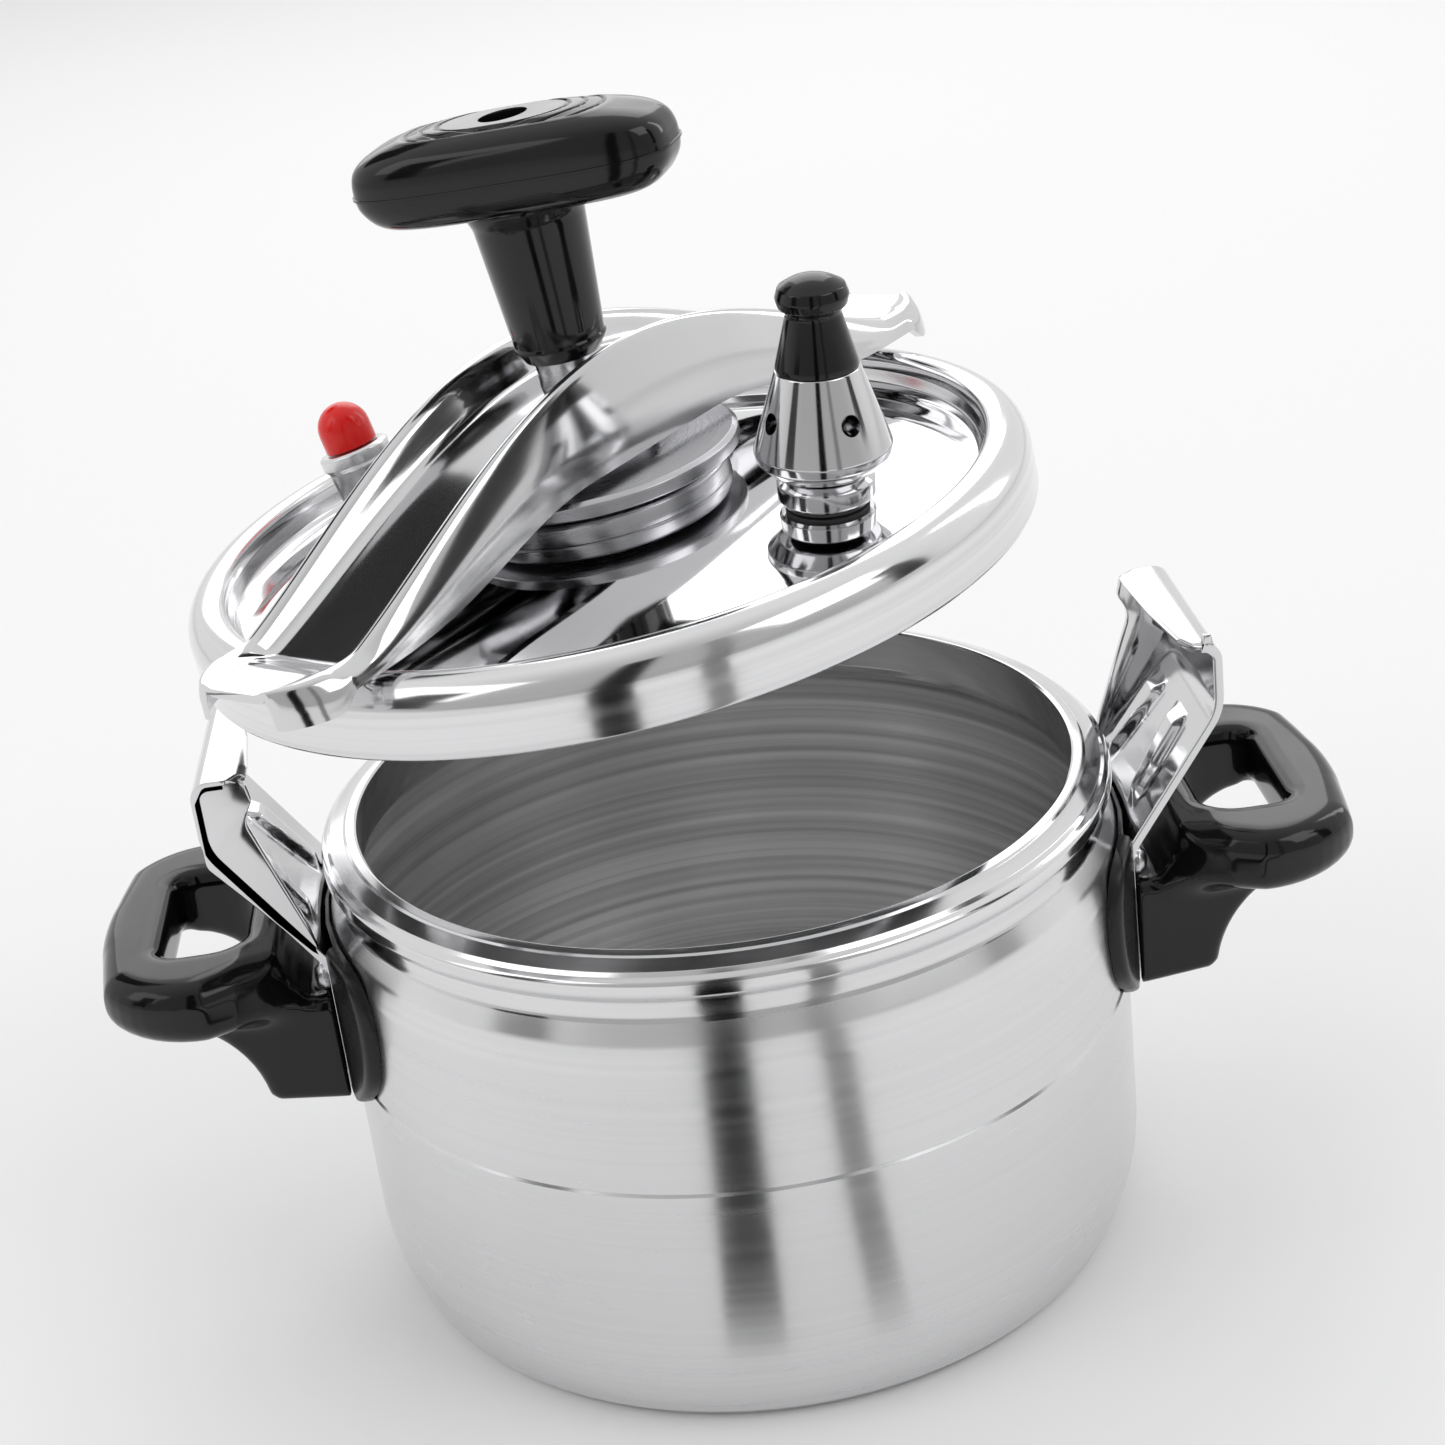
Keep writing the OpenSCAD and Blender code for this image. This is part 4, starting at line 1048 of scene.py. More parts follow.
# ------------------------------------------------------------------ ears
@dataclass
class Ear:
    """A pressed ear: a foot that follows the wall, a ribbed slope, an upright, and a hook."""

    outer_r: float = 101.4
    sheet: float = 2.2
    half: float = 26.0
    foot_low: float = 65.7
    slope: float = 56.0
    slope_low: float = 98.2
    back_x: float = 121.5
    bend_r: float = 14.0
    hook_z: float = 151.0
    corner_r: float = 4.5
    rib_depth: float = 2.0
    columns: int = 131

    @property
    def foot_x(self) -> float:
        """Where the slope leaves the wall at the sheet's edges."""
        return math.sqrt(self.outer_r**2 - self.half**2)

    def slope_z(self, x: float | np.ndarray) -> float | np.ndarray:
        """Height of the slope's outer face at distance x."""
        return self.slope_low + (x - self.foot_x) * math.tan(math.radians(self.slope))

    def lip_x(self, t: float) -> float:
        """Where the hook's lip ends at place t across the ear."""
        across = [-self.half, -24.3, -20, 0, 18, 23.5, self.half]
        return float(np.interp(t, across, [117.0, 114.2, 112.3, 109.6, 108.2, 108.1, 110.4]))

    def side_line(self, t: float) -> np.ndarray:
        """The outer face's line from foot to lip at place t: (x, z) points, evenly numbered.

        Args:
            t: Place across the ear.

        Returns:
            The points, as many at every place.
        """
        x0 = math.sqrt(self.outer_r**2 - t * t)
        z0 = self.slope_z(x0)
        turn = math.radians(90 - self.slope)
        bend_x = self.back_x - self.bend_r
        top_x = bend_x + self.bend_r * math.cos(turn)
        bend_z = self.slope_z(top_x) + self.bend_r * math.sin(turn)
        foot = [(x0, z) for z in np.linspace(self.foot_low, z0 - 1.5, 8)]
        slope = [(x, self.slope_z(x)) for x in np.linspace(x0 + 0.8, top_x, 64)]
        bend = [(bend_x + self.bend_r * math.cos(a), bend_z + self.bend_r * math.sin(a))
                for a in np.linspace(-turn, 0, 8)[1:]]
        corner = [(self.back_x - self.corner_r + self.corner_r * math.cos(a),
                   self.hook_z - self.corner_r + self.corner_r * math.sin(a))
                  for a in np.linspace(0, math.pi / 2, 8)]
        lip = self.lip_x(t)
        flat = [(x, self.hook_z) for x in np.linspace(self.back_x - self.corner_r, lip + 2.4, 7)[1:]]
        droop = [(lip + 1.2, self.hook_z - 0.25), (lip, self.hook_z - 0.9)]
        return np.array(foot + slope + bend + corner + flat + droop)

    def grids(self) -> tuple[np.ndarray, np.ndarray]:
        """Outer and inner faces of the sheet as grids of points.

        Returns:
            The outer and the inner grid.
        """
        across = np.linspace(-self.half, self.half, self.columns)
        outer = []
        for t in across:
            line = self.side_line(t)
            outer.append(np.stack([line[:, 0], np.full(len(line), t), line[:, 1]], 1))
        outer = np.array(outer).transpose(1, 0, 2)
        du, dv = np.gradient(outer, axis=0), np.gradient(outer, axis=1)
        normal = np.cross(du, dv)
        normal /= np.linalg.norm(normal, axis=2)[..., None]
        if normal[3, self.columns // 2, 0] > 0:
            normal = -normal
        x, t = outer[..., 0], np.abs(outer[..., 1])
        q = (x - (self.foot_x + 4.0)) / (self.back_x - self.corner_r - self.foot_x - 4.0)
        inner_edge, outer_edge = 11.5 - 6.0 * q, 16.0 - 1.5 * q
        on_slope = (outer[..., 2] < 137) & (outer[..., 2] > self.slope_z(self.foot_x + 2))
        wedge = smoothstep((t - inner_edge) / 3.0 + 0.5) * smoothstep((outer_edge - t) / 3.0 + 0.5)
        rib = wedge * smoothstep((q + 0.02) / 0.22) * smoothstep((1.04 - q) / 0.20) * on_slope
        outer = outer + normal * (rib * self.rib_depth)[..., None]
        return outer, outer + normal * self.sheet

    def build(self, name: str, node: str, half_turn: float) -> bpy.types.Object:
        """Builds and dresses one ear, turned about the pot's axis.

        Args:
            name: The ear's name.
            node: The CAD node it stands for.
            half_turn: Angle about the axis, 0 or 180 degrees.

        Returns:
            The ear.
        """
        place = ROW.turned(half_turn)
        sheet = soften(piece(name, *thick_sheet(*self.grids()), place), 0.35)
        low_x, back_x, top = self.foot_x + 3, self.back_x - 0.3, self.hook_z - 0.6
        flange_line = rounded([
            (self.foot_x + 0.6, self.slope_z(self.foot_x + 2)), (low_x, self.slope_low + 13.8, 3),
            (110.3, 139.9, 6), (107.6, 144.8, 2.5), (108.6, top, 2), (self.back_x - 3.0, top, 2.5),
            (back_x, self.hook_z - 5, 2), (back_x, self.slope_z(self.back_x - 2.6), 4),
            (low_x, self.slope_z(self.foot_x + 3.3))])
        flange = soften(slab(name + "_flange", flange_line, self.half - self.sheet, self.half, place), 0.5)
        ear = joined(sheet, flange)
        return keep(ear, "pot", "polished_steel", node, material=STEEL_FINISH.material(place))


def joined(*objects: bpy.types.Object) -> bpy.types.Object:
    """Several closed meshes as one object, the first one's.

    Args:
        objects: The meshes.

    Returns:
        The first object, with all of them.
    """
    bm = bmesh.new()
    for obj in objects:
        bm.from_mesh(obj.data)
    bm.to_mesh(objects[0].data)
    bm.free()
    for obj in objects[1:]:
        bpy.data.objects.remove(obj)
    return objects[0]


# ------------------------------------------------------------------ handles
@dataclass
class Handle:
    """A moulded side handle: a block against the pad, and a broad loop round a finger gap."""

    block_r: float = 101.55
    block_half: float = 28.0
    low_z: float = 61.2
    mid_z: float = 97.2
    loop_t: float = 15.0
    loop_half: float = 41.0
    tip_x: float = 156.5
    gap_in: float = 118.0
    gap_out: float = 138.0
    gap_half: float = 20.5
    screw_z: float = 75.7
    rivet_z: float = 94.7
    rivet_a: float = 12.76
    seat_r: float = 5.2
    notch_r: float = 4.2
    loop_edge: float = 6.2
    block_edge: float = 3.0
    cell: float = 0.75

    def loop_plan(self) -> list[tuple[float, float]]:
        """The loop seen from above: a broad D.

        Returns:
            (x, y) points.
        """
        x, hw = self.tip_x, self.loop_half
        near = self.block_r + 4
        return [(near, -27.0), (near + 14, 4 - hw), *arc(x - 26, 24 - hw, 24, -100, -30, 8),
                *arc(x - 40, 0, 40, -18, 18, 8), *arc(x - 26, hw - 24, 24, 30, 100, 8),
                (near + 14, hw - 4), (near, 27.0)]

    def gap_plan(self) -> list[tuple[float, float]]:
        """The finger gap seen from above.

        Returns:
            (x, y) points.
        """
        hw = self.gap_half
        return [*arc(self.gap_in + 8, 8 - hw, 8, 180, 270, 5), *arc(self.gap_out - 5, 5 - hw, 5, -90, 0, 5),
                *arc(self.gap_out - 5, hw - 5, 5, 0, 90, 5), *arc(self.gap_in + 8, hw - 8, 8, 90, 180, 5)]

    def distance(self, x: np.ndarray, y: np.ndarray, z: np.ndarray) -> np.ndarray:
        """Distance to the handle's surface.

        Args:
            x: Distance out from the axis.
            y: Distance along the wall.
            z: Height.

        Returns:
            The distances, negative inside.
        """
        r, near, mid, low = self.loop_t / 2, self.block_r, self.mid_z, self.low_z
        loop_side = [(near - 6, mid - r - 4), (self.gap_in, mid - r - 1),
                     *arc(self.tip_x - r, mid + 1, r, -90, 90, 12), (self.gap_in, mid + r + 1),
                     (near + 8, mid + r - 1), (near + 5.5, mid - 3), (near - 6, mid - 4)]
        block_side = [(near - 12, low), (near + 14.2, low + 3), *arc(146, low + 1, 28.5, 172, 112, 10),
                      (self.gap_out, mid), (near + 7, mid - 2), (near + 3, mid - 6.5), (near - 12, mid - 6.5)]
        plan = polygon_distance(x, y, self.loop_plan())
        gap = polygon_distance(x, y, self.gap_plan())
        loop = round_meet(plan, polygon_distance(x, z, loop_side), self.loop_edge)
        block = round_meet(np.abs(y) - self.block_half, polygon_distance(x, z, block_side), self.block_edge)
        body = blend_union(loop, block, 6.0)
        body = -blend_union(-body, gap + 0 * z, 5.0)
        radius = np.hypot(x, y)
        body = np.maximum(body, self.block_r - radius)
        seat = np.maximum(np.hypot(y, z - self.screw_z) - self.seat_r, self.block_r + 8 - x)
        body = np.maximum(body, -seat)
        for a in (-self.rivet_a, self.rivet_a):
            c, s = math.cos(math.radians(a)), math.sin(math.radians(a))
            out, side = x * c + y * s, y * c - x * s
            wide = np.where(z > self.rivet_z, np.abs(side), np.hypot(side, z - self.rivet_z))
            notch = wide - self.notch_r
            body = np.maximum(body, -np.maximum(notch, out - self.block_r - 3.6))
        return body

    def build(self, name: str, node: str, half_turn: float) -> bpy.types.Object:
        """Builds and dresses one handle.

        Args:
            name: The handle's name.
            node: The CAD node it stands for.
            half_turn: Angle about the axis, 0 or 180 degrees.

        Returns:
            The handle.
        """
        place = ROW.turned(half_turn)
        points, faces = skin(self.distance, (97, -44, 58), (160, 44, 110), self.cell)
        handle = relax(piece(name, points, faces, place, crease=180.0), 2)
        return keep(handle, "pot", "black_bakelite", node, material=BAKELITE.material(place))


@dataclass
class Pad:
    """A shield-shaped pad between the wall and the handle, with a pocket for the ear's foot."""

    inner_r: float = 98.06
    outer_r: float = 101.3
    seam_r: float = 98.56
    seam_top: float = 68.2
    pocket_half: float = 26.25
    pocket_r: float = 99.1
    foot_low: float = 65.4
    low_z: float = 61.3
    top_z: float = 104.3
    edge_r: float = 2.6

    def build(self, name: str, node: str, half_turn: float) -> bpy.types.Object:
        """Builds and dresses one pad.

        Args:
            name: The pad's name.
            node: The CAD node it stands for.
            half_turn: Angle about the axis, 0 or 180 degrees.

        Returns:
            The pad.
        """
        edge = smooth_line([(28.0, self.low_z), (36.0, 66.0), (43.5, 74.5), (46.8, 86.0), (46.4, 96.0),
                            (42.0, 102.6), (34.0, self.top_z)], 60)
        rows = np.linspace(self.low_z, self.top_z, 64)
        half = np.interp(rows, edge[:, 1], edge[:, 0])
        outer, inner = [], []
        for z, h in zip(rows, half):
            near, far = self.pocket_half - 0.05, self.pocket_half + 0.05
            wing = far + (h - far) * np.linspace(0, 1, 22) ** 0.8
            y = np.concatenate([-wing[::-1], [-near, -13, 0, 13, near], wing])
            gap = np.minimum(np.minimum(h - np.abs(y), z - self.low_z), self.top_z - z)
            swell = np.sqrt(1 - (1 - np.clip(gap / self.edge_r, 0, 1)) ** 2)
            low = self.inner_r if z > self.seam_top else self.seam_r
            r_out = low + 0.02 + (self.outer_r - low) * swell
            pocket = (np.abs(y) < self.pocket_half) & (z > self.foot_low)
            r_out = np.where(pocket, np.minimum(r_out, self.pocket_r), r_out)
            a = np.arcsin(y / self.outer_r)
            outer.append(np.stack([r_out * np.cos(a), r_out * np.sin(a), np.full(len(y), z)], 1))
            inner.append(np.stack([low * np.cos(a), low * np.sin(a), np.full(len(y), z)], 1))
        place = ROW.turned(half_turn)
        pad = piece(name, *thick_sheet(np.array(outer), np.array(inner)), place, crease=50.0)
        return keep(pad, "pot", "black_backing", node, material=BACKING.material(place))


@dataclass
class PotFixings:
    """The ears' round-head rivets and the handles' screws, both sides alike."""

    inner_x: float = 95.3
    outer_x: float = 101.45
    rivet_z: float = 94.7
    rivet_a: float = 12.76
    screw_z: float = 75.7
    seat_x: float = 109.6
    foot_r: float = 99.2

    def build(self) -> None:
        """Builds and dresses the rivets and the screws."""
        steel = EDGE_FINISH.material()
        x0, x1 = self.inner_x, self.outer_x
        head = rounded([(0, x0 - 1.6), (2.2, x0 - 1.6), (4.0, x0 - 0.6, 0.8), (4.0, x0, 0.2), (2.0, x0),
                        (2.0, x1), (3.5, x1, 0.2), (3.5, x1 + 1.2, 0.8), (2.4, x1 + 2.7, 1.5), (0, x1 + 3.0)])
        rivets = []
        for a in (-self.rivet_a, self.rivet_a):
            place = ROW.turned(a).moved(0, 0, self.rivet_z).tipped(90)
            rivets.append(spun(f"rivet_{'front' if a < 0 else 'back'}", head, steel, place, 28, closed=False))
        pair = joined(*rivets)
        pair.name = "ear_rivet_heads"
        keep(ROUND.run(pair, {"Finish": steel, "Count": 2, "First angle": 0.0}, ROW), "pot", "machined_steel",
             "ear_rivets")
        foot, seat = self.foot_r, self.seat_x
        shank = rounded([(0, foot), (2.5, foot), (2.5, seat), (4.6, seat, 0.2), (4.6, seat + 1.6, 0.8),
                         (3.4, seat + 2.9, 0.8), (2.2, seat + 2.9), (1.9, seat + 1.7), (0, seat + 1.3)])
        place = ROW.moved(0, 0, self.screw_z).tipped(90)
        screw = spun("handle_screw_heads", shank, steel, place, 32, closed=False)
        screws = ROUND.run(screw, {"Finish": steel, "Count": 2, "First angle": 0.0}, ROW)
        keep(screws, "pot", "machined_steel", "handle_screws")


# ------------------------------------------------------------------ lid
@dataclass
class Lid:
    """The lid: a domed panel in a rolled rim with a skirt, and the thick disc on it."""

    rim_r: float = 100.5
    roll_r: float = 7.6
    panel_r: float = 87.3
    edge_z: float = -1.2
    rise: float = 9.5
    hub_r: float = 14.0
    flat_r: float = 33.2
    sheet: float = 1.5
    skirt: float = 10.0
    curl_r: float = 1.6
    disc_r: float = 31.5
    disc_t: float = 5.0
    hub_hole: float = 10.05

    @property
    def dome_r(self) -> float:
        """Radius of the panel's sphere."""
        return (self.panel_r**2 + self.rise**2) / (2 * self.rise)

    def dome_z(self, r: float) -> float:
        """Height of the panel's outer surface at radius r."""
        return self.edge_z + self.rise - (self.dome_r - math.sqrt(self.dome_r**2 - r * r))

    def on_dome(self, d: float, az: float) -> Place:
        """A frame standing square on the panel at distance d and azimuth az."""
        return LID.turned(az).moved(d, 0, self.dome_z(d)).tipped(math.degrees(math.asin(d / self.dome_r)))

    def face_line(self) -> list[tuple[float, float]]:
        """The outer face from the skirt's curled edge up to the hole in the middle.

        Returns:
            (radius, height) points.
        """
        flat_z, edge, curl_z = self.dome_z(self.flat_r), self.panel_r, self.curl_r - self.skirt
        panel = [(r, self.dome_z(r)) for r in np.linspace(self.flat_r, edge - 2.2, 28)]
        return rounded([
            (self.hub_r, flat_z), (self.flat_r, flat_z, 3), *panel[1:], (edge + 0.6, self.edge_z + 0.1, 2.0),
            (edge + 2.3, self.edge_z + 1.7, 1.6), (edge + 3.1, 3.4, 1.5),
            *arc(edge + 6.0, 4.7, 2.9, 172, 92, 7), *arc(self.rim_r - self.roll_r, 0, self.roll_r, 84, 0, 24),
            (self.rim_r, -4.0), (self.rim_r, curl_z),
            *arc(self.rim_r - self.curl_r, curl_z, self.curl_r, -15, -80, 5)])

    def build(self) -> None:
        """Builds and dresses the lid and the disc on it."""
        line = self.face_line()
        finishes = [f.material(LID) for f in (LID_FINISH, RIM_FINISH)]
        lid = spun("lid_pressing", line + shifted(line, -self.sheet)[::-1], finishes[0], LID, 256, 40.0)
        split_materials(lid, finishes, lambda p: int(math.hypot(p.x, p.y) > self.panel_r + 1.2), LID)
        keep(lid, "lid", "polished_aluminium", "lid_shell")
        z = self.dome_z(self.flat_r)
        top = z + self.disc_t
        disc = rounded([(self.hub_hole, z), (self.disc_r, z, 0.3), (self.disc_r, top, 1.3),
                        (self.hub_hole, top)])
        lower = spun("thick_disc", disc, DISC_FINISH.material(LID), LID, 160)
        keep(lower, "lid", "polished_steel", "lower_disc")


# ------------------------------------------------------------------ regulator and float valve
@dataclass
class Regulator:
    """The weighted regulator: a round nut on the lid, a metal cone with steam holes, a black grip."""

    place: Place
    stem_r: float = 5.0
    pipe_r: float = 3.6
    nut_r: float = 11.0
    nut_low: float = 1.2
    nut_h: float = 6.0
    low: float = 8.6
    body_r: float = 15.5
    neck_r: float = 9.4
    top: float = 32.1
    grip_h: float = 13.5
    hole_r: float = 2.3
    hole_up: float = 13.4
    hole_reach: float = 20.0
    hole_count: int = 4
    first_hole: float = 56.6

    def build(self) -> None:
        """Builds and dresses the nut, the cone and the grip."""
        steel = STEEL_FINISH.material(self.place)
        b, t, r = self.nut_low, self.nut_low + self.nut_h, self.nut_r
        nut = rounded([(self.stem_r, b), (r - 0.6, b), (r, b + 0.8, 0.6), (r, b + 4.4, 0.8),
                       (r - 1.6, t, 1.2), (self.pipe_r, t), (self.pipe_r, t - 1), (self.stem_r, t - 1)])
        keep(spun("vent_round_nut", nut, steel, self.place, 96), "lid", "polished_steel", "vent_collar")
        low, top, r = self.low, self.top, self.body_r
        cone = rounded([(4.4, low + 0.02), (r - 3.4, low, 0.8), (r - 0.4, low + 3.0, 1.4),
                        (r, low + 5.2, 1.4), (self.neck_r, top, 0.5), (3.2, top), (3.2, top - 6),
                        (6.0, top - 9), (5.6, low + 4), (4.4, low + 2)])
        blank = spun("regulator_cone", cone, steel, ROW, 96)
        bored = STEAM_HOLES.run(blank, {
            "Finish": steel, "Count": self.hole_count, "First angle": math.radians(self.first_hole),
            "Hole radius": self.hole_r * MM, "Height": (low + self.hole_up) * MM,
            "Reach": self.hole_reach * MM}, self.place, 30.0)
        keep(bored, "regulator", "polished_steel", "regulator_weight")
        z = top + self.grip_h
        grip = rounded([(0, top + 7), (2.0, top + 7), (2.0, top), (self.neck_r, top, 0.4),
                        (self.neck_r - 0.3, top + 1.4, 0.6), (6.0, z - 0.6, 1.5), (7.6, z + 0.7, 1.0),
                        (8.15, z + 2.8, 1.4), (7.4, z + 5.0, 1.8), *arc(0, z - 4.6, 12, 56, 90, 9)])
        keep(spun("regulator_grip", grip, BAKELITE.material(self.place), self.place, 96, closed=False),
             "regulator", "black_bakelite", "regulator_cap")


@dataclass
class FloatValve:
    """The float valve: a cast barrel on the lid, a red domed float, and its light spring."""

    place: Place
    barrel_r: float = 8.4
    barrel_h: float = 16.0
    bore_r: float = 5.05
    vent_r: float = 2.4
    float_r: float = 6.6
    seat_h: float = 3.0
    turns: float = 4.0
    coil_r: float = 4.0
    wire_r: float = 0.45
    rise: float = 6.6

    def build(self) -> None:
        """Builds and dresses the barrel, the float and the spring."""
        h, r = self.barrel_h, self.barrel_r
        barrel = rounded([(self.vent_r, -8), (5, -8), (5, 0.8), (r - 1, 0.8, 0.4), (r - 0.3, h - 4.4, 1.0),
                          (r + 0.5, h - 3.4, 0.8), (r + 0.6, h - 0.7, 0.6), (r - 0.2, h, 0.5),
                          (self.bore_r, h, 0.2), (self.bore_r, self.seat_h), (self.vent_r, self.seat_h)])
        keep(spun("float_cast_barrel", barrel, CAST_FINISH.material(self.place), self.place, 96),
             "lid", "cast_metal", "float_barrel")
        s = self.seat_h + 0.4
        dome = rounded([(0, s), (2.2, s, 0.3), (2.2, h - 4.5), (5.0, h - 4.5), (5.0, h + 0.3),
                        (self.float_r, h + 0.3, 0.3), (self.float_r, h + 5, 3.0),
                        *arc(0, h + 5, self.float_r, 12, 90, 14)])
        keep(spun("float_red_dome", dome, RED_SILICONE.material(self.place), self.place, 96, closed=False),
             "float", "red_silicone", "float_cap")
        mesh = bpy.data.meshes.new("float_wire_spring")
        spring = bpy.data.objects.new("float_wire_spring", mesh)
        bpy.context.scene.collection.objects.link(spring)
        seat = self.place.moved(0, 0, self.seat_h + 0.6)
        wire = SPRING.run(spring, {
            "Finish": EDGE_FINISH.material(self.place), "Turns": self.turns, "Coil radius": self.coil_r * MM,
            "Wire radius": self.wire_r * MM, "Rise": self.rise * MM}, seat)
        keep(wire, "lid", "machined_steel", "float_spring")


# ------------------------------------------------------------------ clamp
@dataclass
class TurningDisc:
    """The disc that turns with the beam, and the small screws of the cap on it."""

    hub_r: float = 10.0
    bore: float = 5.05
    top_z: float = 17.94
    thick: float = 4.0
    outer_r: float = 35.2
    neck_r: float = 22.5
    neck_low: float = 12.24
    hub_low: float = 7.24
    cap_t: float = 4.2
    screw_ring: float = 13.0

    def build(self) -> None:
        """Builds and dresses the disc and the screws."""
        low, top, r = self.top_z - self.thick, self.top_z, self.outer_r
        line = rounded([(self.bore, self.hub_low), (self.hub_r, self.hub_low, 0.3),
                        (self.hub_r, self.neck_low), (self.neck_r, self.neck_low), (self.neck_r, low),
                        (r, low, 0.5), (r, top - 0.9, 0.3), (r - 1.1, top, 0.3), (self.bore, top)])
        disc = spun("turning_disc_plate", line, DISC_FINISH.material(LID), LID, 160)
        keep(disc, "turning_disc", "polished_steel", "upper_disc")
        steel = EDGE_FINISH.material(LID)
        z = top + self.cap_t
        head = rounded([(0, top), (1.5, top), (1.5, z), (2.5, z, 0.1), (2.4, z + 0.7, 0.5), (1.2, z + 1.15),
                        (0.9, z + 0.7), (0, z + 0.7)])
        screw = spun("cap_screw_heads", head, steel, ROW.moved(self.screw_ring, 0, 0), 24, closed=False)
        screws = ROUND.run(screw, {"Finish": steel, "Count": 3, "First angle": 0.0}, LID)
        keep(screws, "turning_disc", "machined_steel", "retainer_screws")


@dataclass
class Beam:
    """The pressed clamp beam: two ridges, a valley, deep skirts, and tongue-shaped ends."""

    azimuth: float = 47.0
    length: float = 116.0
    half: float = 21.0
    sheet: float = 2.0
    top: float = 45.0
    tip: float = 14.2
    valley: float = 9.0
    skirt_mid: float = 20.34
    skirt_end: float = 9.2
    plateau: float = 22.0
    rim_r: float = 100.5
    tongue_l: float = 12.0
    dense_l: float = 26.0

    def arch(self, u: float) -> float:
        """Share of the arch's height left at distance u."""
        w = min(abs(u) / (self.length - self.tongue_l), 1)
        return 0.5 + 0.5 * math.cos(math.pi * w)

    def tongue(self, u: float) -> float:
        """0 along the arch, 1 at the ends."""
        return float(smoothstep((abs(u) - (self.length - 22)) / 12))

    def ridge_z(self, u: float) -> float:
        """Height of the ridges' tops."""
        a = self.arch(u)
        return self.tip + (self.top - self.tip) * a**0.6 - 2.6 * (1 - self.tongue(u)) * (1 - a)

    def skirt_z(self, u: float) -> float:
        """Height of the skirts' lower edges.

        Args:
            u: Distance along the beam from its middle.

        Returns:
            The height.
        """
        w = min(max(abs(u) - self.plateau, 0) / (self.length - self.tongue_l - self.plateau), 1)
        drop = 3.6 * float(smoothstep((abs(u) - self.rim_r - 0.5) / 6))
        swell = (0.5 + 0.5 * math.cos(math.pi * w)) ** 1.7
        return self.skirt_end + (self.skirt_mid - self.skirt_end) * swell - drop

    def section(self, u: float) -> np.ndarray:
        """The upper surface across the beam: (v, z) points from skirt to skirt.

        Args:
            u: Distance along the beam from its middle.

        Returns:
            The points.
        """
        end = max(0.0, (abs(u) - (self.length - 14)) / 14)
        k = math.sqrt(1 - 0.66 * end * end)
        r = self.ridge_z(u)
        v = r - (4 + (self.valley - 4) * self.arch(u) ** 0.6) * (1 - 0.75 * self.tongue(u))
        s = min(self.skirt_z(u), r - 3)
        h = self.half
        side = [(h, s), (h - 0.25, s + (r - s) * 0.22), (h - 0.8, s + (r - s) * 0.55), (h - 2.6, r - 0.9),
                (h - 4.6, r), (h - 6.4, r + (v - r) * 0.2), (h - 8.2, r + (v - r) * 0.75),
                (h - 10.4, v + (r - v) * 0.04), (h - 15.0, v)]
        pts = [(-a * k, b) for a, b in side] + [(0.0, v)] + [(a * k, b) for a, b in reversed(side)]
        return smooth_line(pts, 91)

    def build(self) -> None:
        """Builds and dresses the beam."""
        rings = []
        mid_l = self.length - self.dense_l
        for u in np.concatenate([np.linspace(-self.length, -mid_l, 40)[:-1], np.linspace(-mid_l, mid_l, 100),
                                 np.linspace(mid_l, self.length, 40)[1:]]):
            line = self.section(float(u))
            under = shifted([tuple(p) for p in line], -self.sheet)
            ring = np.array([tuple(p) for p in line] + under[::-1])
            rings.append(np.column_stack([np.full(len(ring), u), ring]))
        place = LID.turned(self.azimuth)
        beam = piece("clamp_beam_pressing", *ring_loft(np.array(rings)), place, crease=38.0)
        keep(beam, "beam", "polished_steel", "clamp_beam", material=STEEL_FINISH.material(place))


